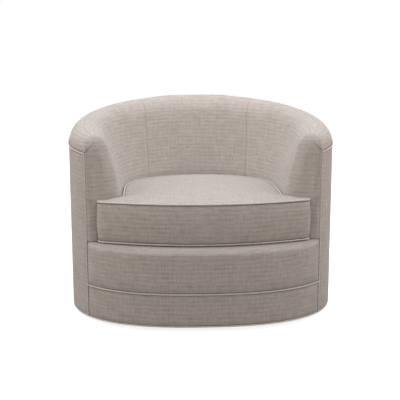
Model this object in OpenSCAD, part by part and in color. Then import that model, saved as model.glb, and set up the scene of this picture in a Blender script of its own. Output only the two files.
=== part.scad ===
// Swivel barrel chair: a round padded tub on a slotted plywood frame, with a loose
// seat cushion, welted seams and a ball-bearing swivel on a hidden round plinth.
// Millimetres. The front faces -Y, +Z is up, and the origin is on the floor at the
// middle of the plan, on the swivel's axis.

/* [Body] */
// Width across the arms, without the welts
chair_w = 890; // [820:5:960]
// Depth from the front border to the outside back, without the welts
chair_d = 825; // [780:5:880]
// Height of the crown at the middle of the back
back_h = 680; // [640:5:740]
// How far the crown falls from the back to the widest line
rim_drop = 51; // [30:1:60]
// Distance from the middle of the plan forward to its widest line
widest_forward = 60; // [40:5:80]
// Angle in front of the widest line at which the outside panel ends
arm_end_angle = 34.5; // [30:0.5:38]

/* [Seat] */
// Half of the width between the arms at the seat
seat_half_w = 268; // [255:1:285]
// Depth of the inside back behind the widest line, at the seat
seat_back_depth = 285; // [270:1:300]
// Distance from the widest line forward to the inner end of the arms
seat_front_depth = 155; // [140:1:165]
// Height of the seat deck above the floor
deck_z = 270; // [262:1:285]
// Height of the loose cushion's side band, welt to welt
cushion_band_h = 131; // [110:1:150]
// Rise of the cushion's crown above its upper welt
cushion_crown = 26; // [20:1:45]
// Distance from the middle of the plan forward to the cushion's front
cushion_front = 376; // [366:1:384]
// Clearance round the cushion
cushion_gap = 4; // [2:0.5:8]

/* [Upholstery] */
// Thickness of a cover cloth with its thin wadding
cloth_t = 2.5; // [1.5:0.5:3.5]
// Radius of the welt cord
welt_r = 2.5; // [2:0.25:3.5]
// Foam on the inside of the wall at the seat
foam_low = 45; // [35:1:55]
// Foam on the inside of the wall under the crown
foam_high = 28; // [20:1:32]
// Foam on the front of the base
front_foam_t = 18; // [12:1:24]
// Height of the welt between the front border and the base band
band_welt_z = 125; // [100:1:150]
// Height of the lowest welt's centre
hem_z = 18; // [17.5:0.5:24]
// Angle behind the widest line at which the inside seams start at the seat
seam_low_angle = 48; // [42:0.5:54]
// Angle behind the widest line at which the inside seams cross the crown
seam_high_angle = 59; // [52:0.5:64]

/* [Frame] */
// Thickness of the plywood of the frame
ply_t = 18; // [15:1:21]
// Thickness of the board round the outside of the frame
liner_t = 3.5; // [2.5:0.5:5]
// Depth from the deck down to the top of the seat ring
deck_drop = 48; // [40:1:60]
// Depth of the halved joints between ring and ribs
lap_depth = 62; // [40:1:75]
// Thickness of the two front posts
post_t = 40; // [30:1:46]
// Width of one strap of webbing
strap_w = 50; // [30:1:55]

/* [Springs] */
// Number of zigzag springs
spring_count = 5; // [4:1:7]
// Radius of the spring wire
wire_r = 1.8; // [1.4:0.1:2.2]
// Half of the width of a spring between its bends
spring_half_w = 15; // [10:1:18]
// Distance from one leg of a spring to the next
spring_pitch = 30; // [22:1:34]
// Rise of a spring's arch
spring_rise = 22; // [14:1:26]

/* [Swivel] */
// Radius of the round plinth
plinth_r = 250; // [220:5:260]
// Thickness of the plinth's board
plinth_t = 15; // [12:1:15]
// Height of the glides under the plinth
glide_h = 6; // [4:1:6]
// Radius of a glide
glide_r = 16; // [12:1:22]
// Number of glides
glide_count = 6; // [4:1:8]
// Side of the square swivel plates
plate_side = 230; // [215:5:250]
// Thickness of the swivel plates
plate_t = 2.5; // [2:0.5:3]
// Radius of the circle that the balls run on
race_r = 92; // [84:1:98]
// Radius of a bearing ball
ball_r = 4; // [3.5:0.25:4]
// Number of bearing balls
ball_count = 24; // [16:1:30]
// Radius of the rivet in the middle of the swivel
rivet_r = 10; // [8:0.5:12]
// Radial running clearance of the rivet in its bore
rivet_fit = 0.05; // [0.02:0.01:0.1]

/* [Hidden] */
// Running clearance between a ball and its grooves, and of the ball cage
race_gap = 0.3;
// Clearance between neighbouring pieces of wood, foam and cloth
seat_gap = 0.3;
// A length by which cutters reach past what they cut
over = 5;
// Height of the space that the swivel fills, from the plinth to the board above it
swivel_h = 17;

// The outer plan: two halves of superellipses that meet at the widest line
half_w = chair_w / 2;
widest_y = -widest_forward;
back_depth = chair_d / 2 - widest_y;
front_depth = chair_d / 2 + widest_y;
back_power = 2.12;
front_power = 2.5;
seat_power = 2.3;

function signed_power(v, e) = sign(v) * pow(abs(v), e);
function power_at(a) = sin(a) >= 0 ? back_power : front_power;
function depth_at(a) = sin(a) >= 0 ? back_depth : front_depth;
function unit(v) = v / norm(v);
function mix(a, b, s) = a + (b - a) * s;
function reversed(list) = [for (i = [len(list) - 1:-1:0]) list[i]];
function flat(list) = [for (row = list) each row];
function outer_pt(a) = [half_w * signed_power(cos(a), 2 / power_at(a)),
                        widest_y + depth_at(a) * signed_power(sin(a), 2 / power_at(a))];
function outer_normal(a) = unit([signed_power(cos(a), 2 - 2 / power_at(a)) / half_w,
                                 signed_power(sin(a), 2 - 2 / power_at(a)) / depth_at(a)]);
// A point of the outer plan set in by a distance, square to the plan
function inset_pt(a, inset) = outer_pt(a) - inset * outer_normal(a);

// The inner plan at the seat: straight arms and a superellipse behind the widest line
function folded(a) = a < 0 ? -a : a > 180 ? a - 180 : 0;
function inner_pt(a) = folded(a) > 0
    ? [sign(cos(a)) * seat_half_w, widest_y - seat_front_depth * folded(a) / arm_end_angle]
    : [seat_half_w * signed_power(cos(a), 2 / seat_power),
       widest_y + seat_back_depth * signed_power(sin(a), 2 / seat_power)];

// A point across the wall: share 0 is the outer plan and share 1 is the inner one
function wall_pt(a, share) = mix(outer_pt(a), inner_pt(a), share);
function wall_w(a) = norm(inner_pt(a) - outer_pt(a));

// Height of the crown over a place in the plan, and of a share of the wall's height
crown_share = 0.28;
crown_back_y = chair_d / 2 - crown_share * (chair_d / 2 - widest_y - seat_back_depth);
rim_power = 0.75;
function rim_z(y) = back_h
    - rim_drop * pow(max(0, crown_back_y - y) / (crown_back_y - widest_y), rim_power);
function level_z(share, y) = deck_z + share * (rim_z(y) - deck_z);

// The wall's section, level by level: its share of the height, its shares of the wall's
// width on the inside and on the outside, and how far the arm's front has rounded off
wall_level_shares = [
    [0.002, 1.020, 0.000, 0.00], [0.170, 1.010, 0.000, 0.00], [0.334, 1.000, 0.000, 0.00],
    [0.488, 0.905, 0.000, 0.00], [0.634, 0.808, 0.000, 0.00], [0.756, 0.728, 0.000, 0.00],
    [0.845, 0.668, 0.000, 0.04], [0.910, 0.612, 0.028, 0.18], [0.960, 0.525, 0.094, 0.42],
    [0.990, 0.420, 0.180, 0.74], [0.999, 0.330, 0.248, 1.00]];
welt_level = 6;
welt_share = wall_level_shares[welt_level][0];
levels = len(wall_level_shares);

// Stations along the tub, from the right arm's end round the back to the left arm's end;
// the inside seams lean back as they rise, and the arm's front edge is rounded off
arm_steps = 9;
back_steps = 12;
station_n = 2 * arm_steps + back_steps + 1;
arm_edge_r = 22;
end_speed = norm(outer_pt(-arm_end_angle + 1) - outer_pt(-arm_end_angle));
function end_at(k) = arm_edge_r * wall_level_shares[k][3] / end_speed - arm_end_angle;
function seam_at(k) = mix(seam_low_angle, seam_high_angle, wall_level_shares[k][0]);
function station(i, k) = i < arm_steps ? mix(end_at(k), seam_at(k), i / arm_steps)
    : i <= arm_steps + back_steps ? mix(seam_at(k), 180 - seam_at(k), (i - arm_steps) / back_steps)
    : 180 - mix(end_at(k), seam_at(k), (station_n - 1 - i) / arm_steps);
nose_n = 5;
ring_n = 2 * station_n + 2 * nose_n;
// Finer stations for the plain pieces that follow the plan
function arc_angles(from, to, n) = [for (i = [0:n]) mix(from, to, i / n)];
function full_turn(n) = [for (i = [0:n - 1]) 360 * i / n];

// Frame sizes that follow from the upholstery
welt_room = welt_r + seat_gap;
frame_inset = cloth_t + liner_t;
front_inset = cloth_t + front_foam_t + liner_t + seat_gap;
base_z = glide_h + plinth_t + swivel_h - ply_t;
seat_ring_top = deck_z - deck_drop;
rail_share = 0.8;
arm_end_y = outer_pt(-arm_end_angle)[1];
rail_back_z = level_z(rail_share, crown_back_y);
rail_slope = (rail_back_z - level_z(rail_share, arm_end_y)) / (crown_back_y - arm_end_y);
function rail_top_z(y) = rail_back_z - rail_slope * (crown_back_y - y);
rail_tilt = atan(rail_slope);
function foam_at(level_share) = mix(foam_low, foam_high, min(1, max(0, level_share) / rail_share));
// Share of the wall's width on the inside, at any share of its height
function inside_share(h) = lookup(h, [for (l = wall_level_shares) [l[0], l[1]]]);

// SHELLS: closed sheets from two matching grids of points
function quad(a, b, c, d) = [[a, b, c], [a, c, d]];
function edge_wall(loop, shift) = [for (j = [0:len(loop) - 2])
    each quad(loop[j + 1], loop[j], loop[j] + shift, loop[j + 1] + shift)];
function turned(faces, shift) = [for (f = faces) [f[0] + shift, f[2] + shift, f[1] + shift]];

// A sheet over a grid of rows and columns: the outer points, then the inner ones
module sheet(outer, inner) {
    rows = len(outer);
    cols = len(outer[0]);
    shift = rows * cols;
    skin = [for (r = [0:rows - 2], c = [0:cols - 2])
        each quad(r * cols + c, r * cols + c + 1, (r + 1) * cols + c + 1, (r + 1) * cols + c)];
    loop = concat([for (c = [0:cols - 1]) c], [for (r = [1:rows - 1]) r * cols + cols - 1],
                  [for (c = [cols - 2:-1:0]) (rows - 1) * cols + c], [for (r = [rows - 2:-1:0]) r * cols]);
    polyhedron(concat(flat(outer), flat(inner)),
               concat(skin, turned(skin, shift), edge_wall(loop, shift)), convexity = 8);
}

// A solid through closed rings of equal length, with a fan of triangles at each end
module loft(rings) {
    n = len(rings[0]);
    m = len(rings);
    low = [for (k = [0:2]) [for (p = rings[0]) p[k]] * [for (p = rings[0]) 1 / n]];
    high = [for (k = [0:2]) [for (p = rings[m - 1]) p[k]] * [for (p = rings[m - 1]) 1 / n]];
    skin = [for (r = [0:m - 2], c = [0:n - 1])
        each quad(r * n + c, (r + 1) * n + c, (r + 1) * n + (c + 1) % n, r * n + (c + 1) % n)];
    ends = concat([for (c = [0:n - 1]) [n * m, c, (c + 1) % n]],
                  [for (c = [0:n - 1]) [n * m + 1, (m - 1) * n + (c + 1) % n, (m - 1) * n + c]]);
    polyhedron(concat(flat(rings), [low, high]), concat(skin, ends), convexity = 4);
}

// A round cord or wire along a path, closed on itself or with flat ends
module tube(path, radius, sides, closed = false) {
    n = len(path);
    function ahead(i) = closed ? path[(i + 1) % n] : path[min(i + 1, n - 1)];
    function behind(i) = closed ? path[(i + n - 1) % n] : path[max(i - 1, 0)];
    rings = [for (i = [0:n - 1])
        let (t = unit(ahead(i) - behind(i)), side = unit(cross(t, [0, 0, 1])), up = cross(side, t))
        [for (j = [0:sides - 1])
            path[i] + radius * (cos(360 * j / sides) * side + sin(360 * j / sides) * up)]];
    last = closed ? n - 1 : n - 2;
    skin = [for (i = [0:last], j = [0:sides - 1])
        each quad(i * sides + j, i * sides + (j + 1) % sides,
                  ((i + 1) % n) * sides + (j + 1) % sides, ((i + 1) % n) * sides + j)];
    caps = closed ? [] : [for (j = [1:sides - 2])
        each [[0, j + 1, j], [(n - 1) * sides, (n - 1) * sides + j, (n - 1) * sides + j + 1]]];
    polyhedron(flat(rings), concat(skin, caps), convexity = 8);
}
welt_sides = 6;
module welt(path, closed = false) {
    tube(path, welt_r, welt_sides, closed);
}

// THE TUB: rings at each level, closed round both faces of the wall and the arm ends
function bezier(p, q, r, s, u) = pow(1 - u, 3) * p + 3 * pow(1 - u, 2) * u * q
    + 3 * (1 - u) * u * u * r + pow(u, 3) * s;
nose_out = 14;
nose_in = 50;
// The arm's rounded end in plan, between its outer and its inner corner
function end_along(side) = let (n = outer_normal(side > 0 ? -arm_end_angle : 180 + arm_end_angle))
    side > 0 ? [n[1], -n[0]] : [-n[1], n[0]];
function nose_pt(side, a, out_share, in_share, u, fullness = 1) =
    let (o = wall_pt(a, out_share), i = wall_pt(a, in_share), w = (in_share - out_share) * fullness)
    bezier(o, o + nose_out * w * end_along(side), i - [0, nose_in * w], i, u);
// A closed ring round the wall, from its outside and inside shares at one level
function wall_ring(k, out_share, in_shares, fullness = 1) = let (last = station_n - 1) concat(
    [for (i = [0:last]) wall_pt(station(i, k), out_share)],
    [for (q = [1:nose_n])
        nose_pt(-1, station(last, k), out_share, in_shares[last], q / (nose_n + 1), fullness)],
    [for (i = [last:-1:0]) wall_pt(station(i, k), in_shares[i])],
    [for (q = [nose_n:-1:1])
        nose_pt(1, station(0, k), out_share, in_shares[0], q / (nose_n + 1), fullness)]);
function at_level(p, share) = [p[0], p[1], level_z(share, p[1])];
// Below the top welt the skin's front edge stops short of the welt on the arm's front
function edge_shift(k, i) = k > welt_level ? [0, 0] : i == 0 ? welt_room * end_along(1)
    : i == station_n - 1 ? welt_room * end_along(-1) : [0, 0];
function tub_ring(k) = let (l = wall_level_shares[k], rise = [0, 0, k == welt_level ? welt_room : 0],
                            ring = wall_ring(k, l[2], [for (i = [1:station_n]) l[1]]))
    [for (i = [0:ring_n - 1]) at_level(ring[i] + edge_shift(k, i), l[0]) + rise];
tub_skin = [for (k = [0:levels - 1]) tub_ring(k)];

// The heart of the wall, towards which the skin is set in: a line inside the crown's
// roll at the top, and the same line dropped to the point's own height below it
heart_share = 0.33;
heart_drop = 58;
function ring_station(i, k) = i < station_n ? station(i, k)
    : i < station_n + nose_n ? station(station_n - 2, k)
    : i < 2 * station_n + nose_n ? station(2 * station_n + nose_n - 1 - i, k) : station(1, k);
function heart(i, k, z) = let (p = wall_pt(ring_station(i, k), heart_share))
    [p[0], p[1], min(z, rim_z(p[1]) - heart_drop)];
function set_in(p, i, k, depth) = p + depth * unit(heart(i, k, p[2]) - p);
function tub_at(depth) = [for (k = [0:levels - 1])
    [for (i = [0:ring_n - 1]) set_in(tub_skin[k][i], i, k, depth)]];
tub_under_cloth = tub_at(cloth_t);
foam_skin = tub_at(cloth_t + seat_gap);

// The frame's side of the foam: behind the inside foam, and flat on the top rail
rail_out_share = 0.05;
hollow_share = 0.4;
function foam_back_share(a, l) = l[1] - foam_at(l[0]) / wall_w(a);
function rail_span(share, a) =
    let (edge = foam_back_share(a, wall_level_shares[welt_level]), turn = wall_level_shares[welt_level][1])
    share >= crown_share ? mix(crown_share, edge, (share - crown_share) / (turn - crown_share))
                         : mix(crown_share, rail_out_share, (crown_share - share) / crown_share);
function foam_back_ring(k) = let (l = wall_level_shares[k])
    k < welt_level
    ? [for (p = wall_ring(k, rail_out_share,
                          [for (i = [0:station_n - 1]) foam_back_share(station(i, k), l)], hollow_share))
        at_level(p, l[0])]
    : [for (p = wall_ring(k, rail_span(l[2], 0),
                          [for (i = [0:station_n - 1]) rail_span(l[1], station(i, k))], hollow_share))
        [p[0], p[1], rail_top_z(p[1]) + seat_gap]];
foam_back = [for (k = [0:levels - 1]) foam_back_ring(k)];

// Faces of the tub's sheet between a first and a last station on the right-hand side
function inner_index(i) = 2 * station_n + nose_n - 1 - i;
function at(k, i) = k * ring_n + i % ring_n;
// Left of the right arm's seam the faces split the other way, as its neighbours' do
function cell(other_way, a, b, c, d) = other_way ? [[a, b, d], [b, c, d]] : quad(a, b, c, d);
function tub_strip(k, from, to) = [for (i = [from:to - 1])
    each cell(i >= arm_steps && i < inner_index(arm_steps),
              at(k, i), at(k, i + 1), at(k + 1, i + 1), at(k + 1, i))];
function crown_at(i) = at(levels - 1, i);
function crown_ladder(to) = [for (i = [0:to - 1])
    each cell(i >= arm_steps, crown_at(i), crown_at(i + 1),
              crown_at(inner_index(i + 1)), crown_at(inner_index(i)))];
function fan(list) = [for (j = [1:len(list) - 2]) [list[0], list[j], list[j + 1]]];
right_nose_cap = fan([for (i = [inner_index(0):ring_n]) crown_at(i)]);
left_nose_cap = fan(concat([crown_at(station_n + nose_n)],
                           [for (i = [station_n - 1:station_n + nose_n - 1]) crown_at(i)]));

module tub_shell(outer, inner) {
    last = station_n - 1;
    shift = levels * ring_n;
    skin = concat(
        [for (k = [0:welt_level - 1]) each tub_strip(k, last, ring_n)],
        [for (k = [welt_level:levels - 2]) each tub_strip(k, 0, ring_n)],
        crown_ladder(last), right_nose_cap, left_nose_cap);
    loop = concat([for (i = [last:ring_n]) at(0, i)], [for (k = [1:welt_level]) at(k, 0)],
                  [for (i = [1:last]) at(welt_level, i)], [for (k = [welt_level - 1:-1:0]) at(k, last)]);
    polyhedron(concat(flat(outer), flat(inner)),
               concat(skin, turned(skin, shift), edge_wall(loop, shift)), convexity = 10);
}

// The right arm's cover, as far back as the inside seam
module arm_shell(outer, inner) {
    seam = arm_steps;
    shift = levels * ring_n;
    inner_seam = inner_index(seam);
    skin = concat(
        [for (k = [0:welt_level - 1]) each tub_strip(k, inner_seam, ring_n)],
        [for (k = [welt_level:levels - 2]) each tub_strip(k, inner_seam, ring_n + seam)],
        crown_ladder(seam), right_nose_cap);
    loop = concat([for (i = [inner_seam:ring_n]) at(0, i)], [for (k = [1:welt_level]) at(k, 0)],
                  [for (i = [1:seam]) at(welt_level, i)],
                  [for (k = [welt_level + 1:levels - 1]) at(k, seam)],
                  [for (k = [levels - 1:-1:0]) at(k, inner_seam)]);
    polyhedron(concat(flat(outer), flat(inner)),
               concat(skin, turned(skin, shift), edge_wall(loop, shift)), convexity = 10);
}
// The back's rows stop just short of both seams
back_stations = [for (i = [arm_steps:station_n - 1 - arm_steps]) i];
function eased(row) = let (last = len(row) - 1, step = seat_gap / 3) concat(
    [row[0] + step * unit(row[1] - row[0])], [for (i = [1:last - 1]) row[i]],
    [row[last] + step * unit(row[last - 1] - row[last])]);
function back_rows(rings) = concat(
    [for (k = [0:levels - 1]) eased([for (i = back_stations) rings[k][inner_index(i)]])],
    [for (k = [levels - 1:-1:welt_level]) eased([for (i = back_stations) rings[k][i]])]);

// A strip that follows the plan between two insets, cut off under a sloping top
module plan_strip(inset_a, inset_b, from, to, n) {
    polygon(concat([for (a = arc_angles(from, to, n)) inset_pt(a, inset_a)],
                   [for (a = reversed(arc_angles(from, to, n))) inset_pt(a, inset_b)]));
}
// Angle along the plan that a welt's radius and clearance take up at the arm's end
room_angle = welt_room / end_speed;
side_segments = 60;
front_segments = 28;
welt_segments = 44;
hem_segments = 60;

// OUTSIDE PANELS
cover_colour = [0.79, 0.75, 0.71];
welt_colour = [0.76, 0.72, 0.68];
foam_colour = [0.93, 0.90, 0.78];
ply_colour = [0.80, 0.66, 0.47];
steel_colour = [0.55, 0.56, 0.58];

side_from = room_angle - arm_end_angle;
side_bottom = hem_z + welt_r + seat_gap;
panel_angles = arc_angles(side_from, 180 - side_from, side_segments);
function side_pts(inset) = [for (a = panel_angles) inset_pt(a, inset)];
function side_foot(inset) = [for (p = side_pts(inset)) [p[0], p[1], side_bottom]];
function cover_rows(inset) = [side_foot(inset),
    [for (p = side_pts(inset)) [p[0], p[1], level_z(welt_share, p[1]) - welt_room]]];
function liner_rows(inset) = [side_foot(inset), [for (p = side_pts(inset)) [p[0], p[1], rail_top_z(p[1])]]];
module outside_cover() {
    color(cover_colour) sheet(cover_rows(0), cover_rows(cloth_t));
}
// The board round the outside reaches up to the top of the rail
module outer_liner() {
    color("burlywood") sheet(liner_rows(cloth_t), liner_rows(frame_inset));
}
function welt_line(a) = at_level(outer_pt(a), welt_share);
module outside_welt() {
    color(welt_colour) welt([for (a = arc_angles(-arm_end_angle, 180 + arm_end_angle, welt_segments))
        welt_line(a)]);
}
module arm_front_welts() {
    p = outer_pt(-arm_end_angle);
    top = level_z(welt_share, p[1]) - welt_room;
    bottom = hem_z + welt_room;
    color(welt_colour) for (side = [-1, 1])
        translate([side * p[0], p[1], bottom]) cylinder(r = welt_r, h = top - bottom, $fn = 24);
}
module hem_welt() {
    color(welt_colour) welt([for (a = full_turn(hem_segments)) let (p = inset_pt(a, welt_r))
        [p[0], p[1], hem_z]], closed = true);
}

// FRONT OF THE BASE
front_from = 180 + arm_end_angle + room_angle;
front_to = 360 - arm_end_angle - room_angle;
function front_grid(section) = [for (s = section)
    [for (a = arc_angles(front_from, front_to, front_segments)) let (p = inset_pt(a, s[0]))
        [p[0], p[1], s[1]]]];
roll_r = 20;
flap_depth = 112;
border_bottom = band_welt_z + welt_room;
border_top = deck_z - seat_gap;
function roll_arc(depth) = let (radius = roll_r - depth) [for (b = [0:30:90])
    [depth + radius * (1 - cos(b)), border_top - roll_r + radius * sin(b)]];
// The border's section at a depth under its face, from a height up and over to the flap
function border_section(depth, bottom) = concat(
    [[depth, bottom], [depth, mix(border_bottom, border_top, 0.5)]],
    roll_arc(depth), [[flap_depth, border_top - depth]]);
module front_border() {
    color(cover_colour) sheet(front_grid(border_section(0, border_bottom)),
                              front_grid(border_section(cloth_t, border_bottom)));
}
module base_band() {
    bottom = hem_z + welt_r + seat_gap;
    color(cover_colour) translate([0, 0, bottom]) linear_extrude(band_welt_z - welt_room - bottom)
        plan_strip(0, cloth_t, front_from, front_to, front_segments);
}
module band_welt() {
    color(welt_colour) welt([for (a = arc_angles(front_from, front_to, front_segments))
        let (p = outer_pt(a)) [p[0], p[1], band_welt_z]]);
}
// The front foam covers the face and rolls over the seat ring as a firm edge
foam_bottom = base_z + seat_gap;
front_skin = border_section(cloth_t + seat_gap, foam_bottom);
front_step = flap_depth / 2;
function front_back() = let (face = cloth_t + front_foam_t, top = seat_ring_top + seat_gap)
    [[face, foam_bottom], [face, mix(foam_bottom, top, 0.5)], [face, top - over], [face, top],
     [front_step, top], [front_step + over, top + clip_h], [flap_depth, pad_z]];
module front_foam() {
    color(foam_colour) sheet(front_grid(front_skin), front_grid(front_back()));
}
module front_liner() {
    face = cloth_t + front_foam_t + seat_gap / 2;
    color("burlywood") translate([0, 0, foam_bottom])
        linear_extrude(seat_ring_top - base_z - 2 * seat_gap)
            plan_strip(face, face + liner_t, front_from, front_to, front_segments);
}

// INSIDE OF THE TUB
module inside_foam() {
    color(foam_colour) tub_shell(foam_skin, foam_back);
}
module right_arm_cover() {
    color(cover_colour) arm_shell(tub_skin, tub_under_cloth);
}
module left_arm_cover() {
    mirror([1, 0, 0]) right_arm_cover();
}
module inside_back_cover() {
    color(cover_colour) sheet(back_rows(tub_skin), back_rows(tub_under_cloth));
}

// FRAME
// The frame's plan: close behind the outside liner, and behind the front foam
module frame_outline() {
    side_angles = arc_angles(-arm_end_angle, 180 + arm_end_angle, side_segments);
    front_angles = arc_angles(180 + arm_end_angle, 360 - arm_end_angle, front_segments);
    polygon(concat([for (a = side_angles) inset_pt(a, frame_inset + 2 * seat_gap)],
                   [for (a = front_angles) inset_pt(a, front_inset)]));
}
// The hole in the base panel lets the swivel be reached, and its edge clears the plinth
hole_margin = 14;
base_hole_r = plinth_r + hole_margin;
module base_panel() {
    color(ply_colour) translate([0, 0, base_z]) linear_extrude(ply_t) difference() {
        frame_outline();
        circle(r = base_hole_r, $fn = 120);
        at_board_screws() circle(r = screw_r + fixing_fit, $fn = 32);
    }
}
rib_angles = [8, 50, 90, 130, 172];
post_offset_angle = 7.5;
post_angles = [post_offset_angle - arm_end_angle, 180 + arm_end_angle - post_offset_angle];
rib_setback = 1;
function rib_dir(a) = unit(inner_pt(a) - outer_pt(a));
function across_pt(a, d) = outer_pt(a) + rib_dir(a) * d;
// Places a drawing of distance from the outer plan against height across the wall
module across_wall(a, t) {
    p = outer_pt(a);
    d = rib_dir(a);
    translate([p[0], p[1], 0]) rotate([0, 0, atan2(d[1], d[0])]) rotate([90, 0, 0])
        linear_extrude(t, center = true) children();
}
function rib_inner(a, h) = wall_w(a) * inside_share(h) - foam_at(h) - 2 * seat_gap;
// Top of a rib under the sloping rail, at a distance across the wall
function rib_top(a, t, d) = rail_top_z(across_pt(a, d)[1]) - ply_t / cos(rail_tilt)
    - rail_slope * t / 2 - seat_gap;
rib_foot = base_z + ply_t;
rib_shares = [0.05, 0.334, 0.488, 0.634];
// Share of the wall's height at which a rib or a strap meets the rail
function top_share(a, t) = let (d = rib_inner(a, rib_shares[3]))
    (rib_top(a, t, d) - deck_z) / (rim_z(across_pt(a, d)[1]) - deck_z);
// A thick rib is set back at both faces, because the wall crosses it at a slant
module rib_profile(a, t) {
    first = frame_inset + rib_setback + (t - ply_t) / 4;
    back = (t - ply_t) / 2;
    last = rib_inner(a, top_share(a, t)) - back;
    polygon(concat(
        [[first, rib_foot], [rib_inner(a, 0) - back, rib_foot]],
        [for (h = rib_shares) let (d = rib_inner(a, h) - back) [d, level_z(h, across_pt(a, d)[1])]],
        [[last, rib_top(a, t, last)], [first, rib_top(a, t, first)]]));
}
module lap_slot(a, t, from, to) {
    across_wall(a, t + 2 * seat_gap / 3) translate([from, seat_ring_top - ply_t - seat_gap / 3])
        square([to - from, ply_t + 2 * seat_gap / 3]);
}
module rib(a, t) {
    difference() {
        across_wall(a, t) rib_profile(a, t);
        lap_slot(a, t + over, lap_depth, 2 * wall_w(a));
    }
}
module wall_ribs() {
    color(ply_colour) for (a = rib_angles) rib(a, ply_t);
}
module front_posts() {
    color("tan") for (a = post_angles) rib(a, post_t);
}
opening_front = widest_y - front_depth + flap_depth;
module seat_ring() {
    color(ply_colour) difference() {
        translate([0, 0, seat_ring_top - ply_t]) linear_extrude(ply_t) difference() {
            frame_outline();
            polygon(concat([for (a = arc_angles(0, 180, 36)) inner_pt(a)],
                           [[-seat_half_w, opening_front], [seat_half_w, opening_front]]));
        }
        for (a = rib_angles) lap_slot(a, ply_t, -over, lap_depth + seat_gap);
        for (a = post_angles) lap_slot(a, post_t, -over, lap_depth + seat_gap);
    }
}
rail_ends = 1.5;
module top_rail() {
    from = rail_ends - arm_end_angle;
    to = 180 + arm_end_angle - rail_ends;
    angles = arc_angles(from, to, side_segments);
    reach = 2 * max(chair_w, chair_d);
    color(ply_colour) intersection() {
        linear_extrude(back_h) polygon(concat(
            [for (a = angles) inset_pt(a, frame_inset + rib_setback)],
            [for (a = reversed(angles)) wall_pt(a, rail_span(wall_level_shares[welt_level][1], a)
                - seat_gap / wall_w(a))]));
        translate([0, 0, rail_top_z(0)]) rotate([rail_tilt, 0, 0])
            translate([-reach / 2, -reach / 2, -ply_t]) cube([reach, reach, ply_t]);
    }
}
// Straps between the ribs, from the seat ring up to the rail, flush with the ribs
strap_t = 1.5;
strap_angles = [-12, 22, 35, 63, 76, 104, 117, 145, 158, 192];
function strap_pt(a, h, depth) = across_pt(a, rib_inner(a, h) - depth);
function strap_row(angles, h, depth) = [for (a = angles) let (p = strap_pt(a, h, depth))
    [p[0], p[1], level_z(h, p[1])]];
function strap_rows(angles, depth) = concat(
    [[for (a = angles) let (p = strap_pt(a, 0, depth)) [p[0], p[1], seat_ring_top + seat_gap]]],
    [for (h = rib_shares) strap_row(angles, h, depth)],
    [[for (a = angles) let (h = top_share(a, 0), p = strap_pt(a, h, depth))
        [p[0], p[1], rib_top(a, 0, rib_inner(a, h))]]]);
module webbing() {
    color("peru") for (a = strap_angles) {
        half = strap_w / 2 / norm(inner_pt(a + 1) - inner_pt(a));
        angles = [a - half, a, a + half];
        sheet(strap_rows(angles, strap_t), strap_rows(angles, 0));
    }
}
block_leg = 50;
module corner_blocks() {
    color("tan") for (a = post_angles) let (foot = rib_inner(a, 0) - (post_t - ply_t) / 2 + seat_gap)
        across_wall(a, post_t)
            polygon([[foot, rib_foot], [foot + block_leg, rib_foot], [foot, rib_foot + block_leg]]);
}
stud_angles = [253, 287];
module front_studs() {
    low = base_z + ply_t;
    inset = front_inset + post_t / 2 + rib_setback;
    color("tan") for (a = stud_angles) let (p = inset_pt(a, inset), n = outer_normal(a))
        translate([p[0], p[1], low]) rotate([0, 0, atan2(n[1], n[0])])
            translate([-post_t / 2, -post_t / 2, 0])
                cube([post_t, post_t, seat_ring_top - ply_t - low]);
}

// SEAT SPRINGS AND DECK
clip_t = 1.2;
clip_w = 26;
clip_depth = 16;
clip_h = 2 * (clip_t + wire_r + seat_gap);
spring_base = seat_ring_top + clip_t + seat_gap + wire_r;
spring_edge = 8;
spring_side = 40;
function seat_back_y(x) = widest_y
    + seat_back_depth * pow(1 - pow(abs(x) / seat_half_w, seat_power), 1 / seat_power);
spring_spacing = 2 * (seat_half_w - spring_half_w - spring_side) / (spring_count - 1);
function spring_x(i) = (i - (spring_count - 1) / 2) * spring_spacing;
spring_front_y = opening_front - spring_edge;
function spring_back_y(i) = seat_back_y(spring_x(i)) + spring_edge;
function leg_n(i) = 2 * floor((spring_back_y(i) - spring_front_y) / spring_pitch / 2) + 1;
function leg_y(i, j) = mix(spring_front_y, spring_back_y(i), j / (leg_n(i) - 1));
function arch_z(i, y) = spring_base
    + spring_rise * (1 - pow(2 * (y - spring_front_y) / (spring_back_y(i) - spring_front_y) - 1, 2));
bend_n = 3;
wire_sides = 4;
// A zigzag wire: each leg runs across, and half a circle leads on to the next one
function bend(from, to, s) = [for (b = [0:bend_n])
    [s * (spring_half_w + (to - from) / 2 * sin(180 * b / bend_n)),
     (from + to) / 2 - (to - from) / 2 * cos(180 * b / bend_n)]];
function spring_path(i) = let (turns = leg_n(i) - 1) concat(
    [[-spring_half_w, leg_y(i, 0)]],
    [for (j = [0:turns - 1]) each bend(leg_y(i, j), leg_y(i, j + 1), j % 2 == 0 ? 1 : -1)],
    [[spring_half_w, leg_y(i, turns)]]);
module spring(i) {
    tube([for (p = spring_path(i)) [spring_x(i) + p[0], p[1], arch_z(i, p[1])]], wire_r, wire_sides);
}
module seat_springs() {
    color(steel_colour) for (i = [0:spring_count - 1]) spring(i);
}
module spring_clip() {
    back = wire_r + seat_gap + clip_t;
    rotate([90, 0, 90]) linear_extrude(clip_w, center = true) difference() {
        translate([-back, 0]) square([clip_depth, clip_h]);
        translate([clip_t - back, clip_t]) square([clip_depth, clip_h - 2 * clip_t]);
    }
}
module spring_clips() {
    color("silver") for (i = [0:spring_count - 1]) {
        translate([spring_x(i), spring_front_y, seat_ring_top]) spring_clip();
        translate([spring_x(i), spring_back_y(i), seat_ring_top]) mirror([0, 1, 0]) spring_clip();
    }
}
tie_r = 1.2;
tie_shares = [0.3, 0.66];
middle_spring = floor(spring_count / 2);
function tie_y(share) = leg_y(middle_spring, round(share * (leg_n(middle_spring) - 1)));
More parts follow.
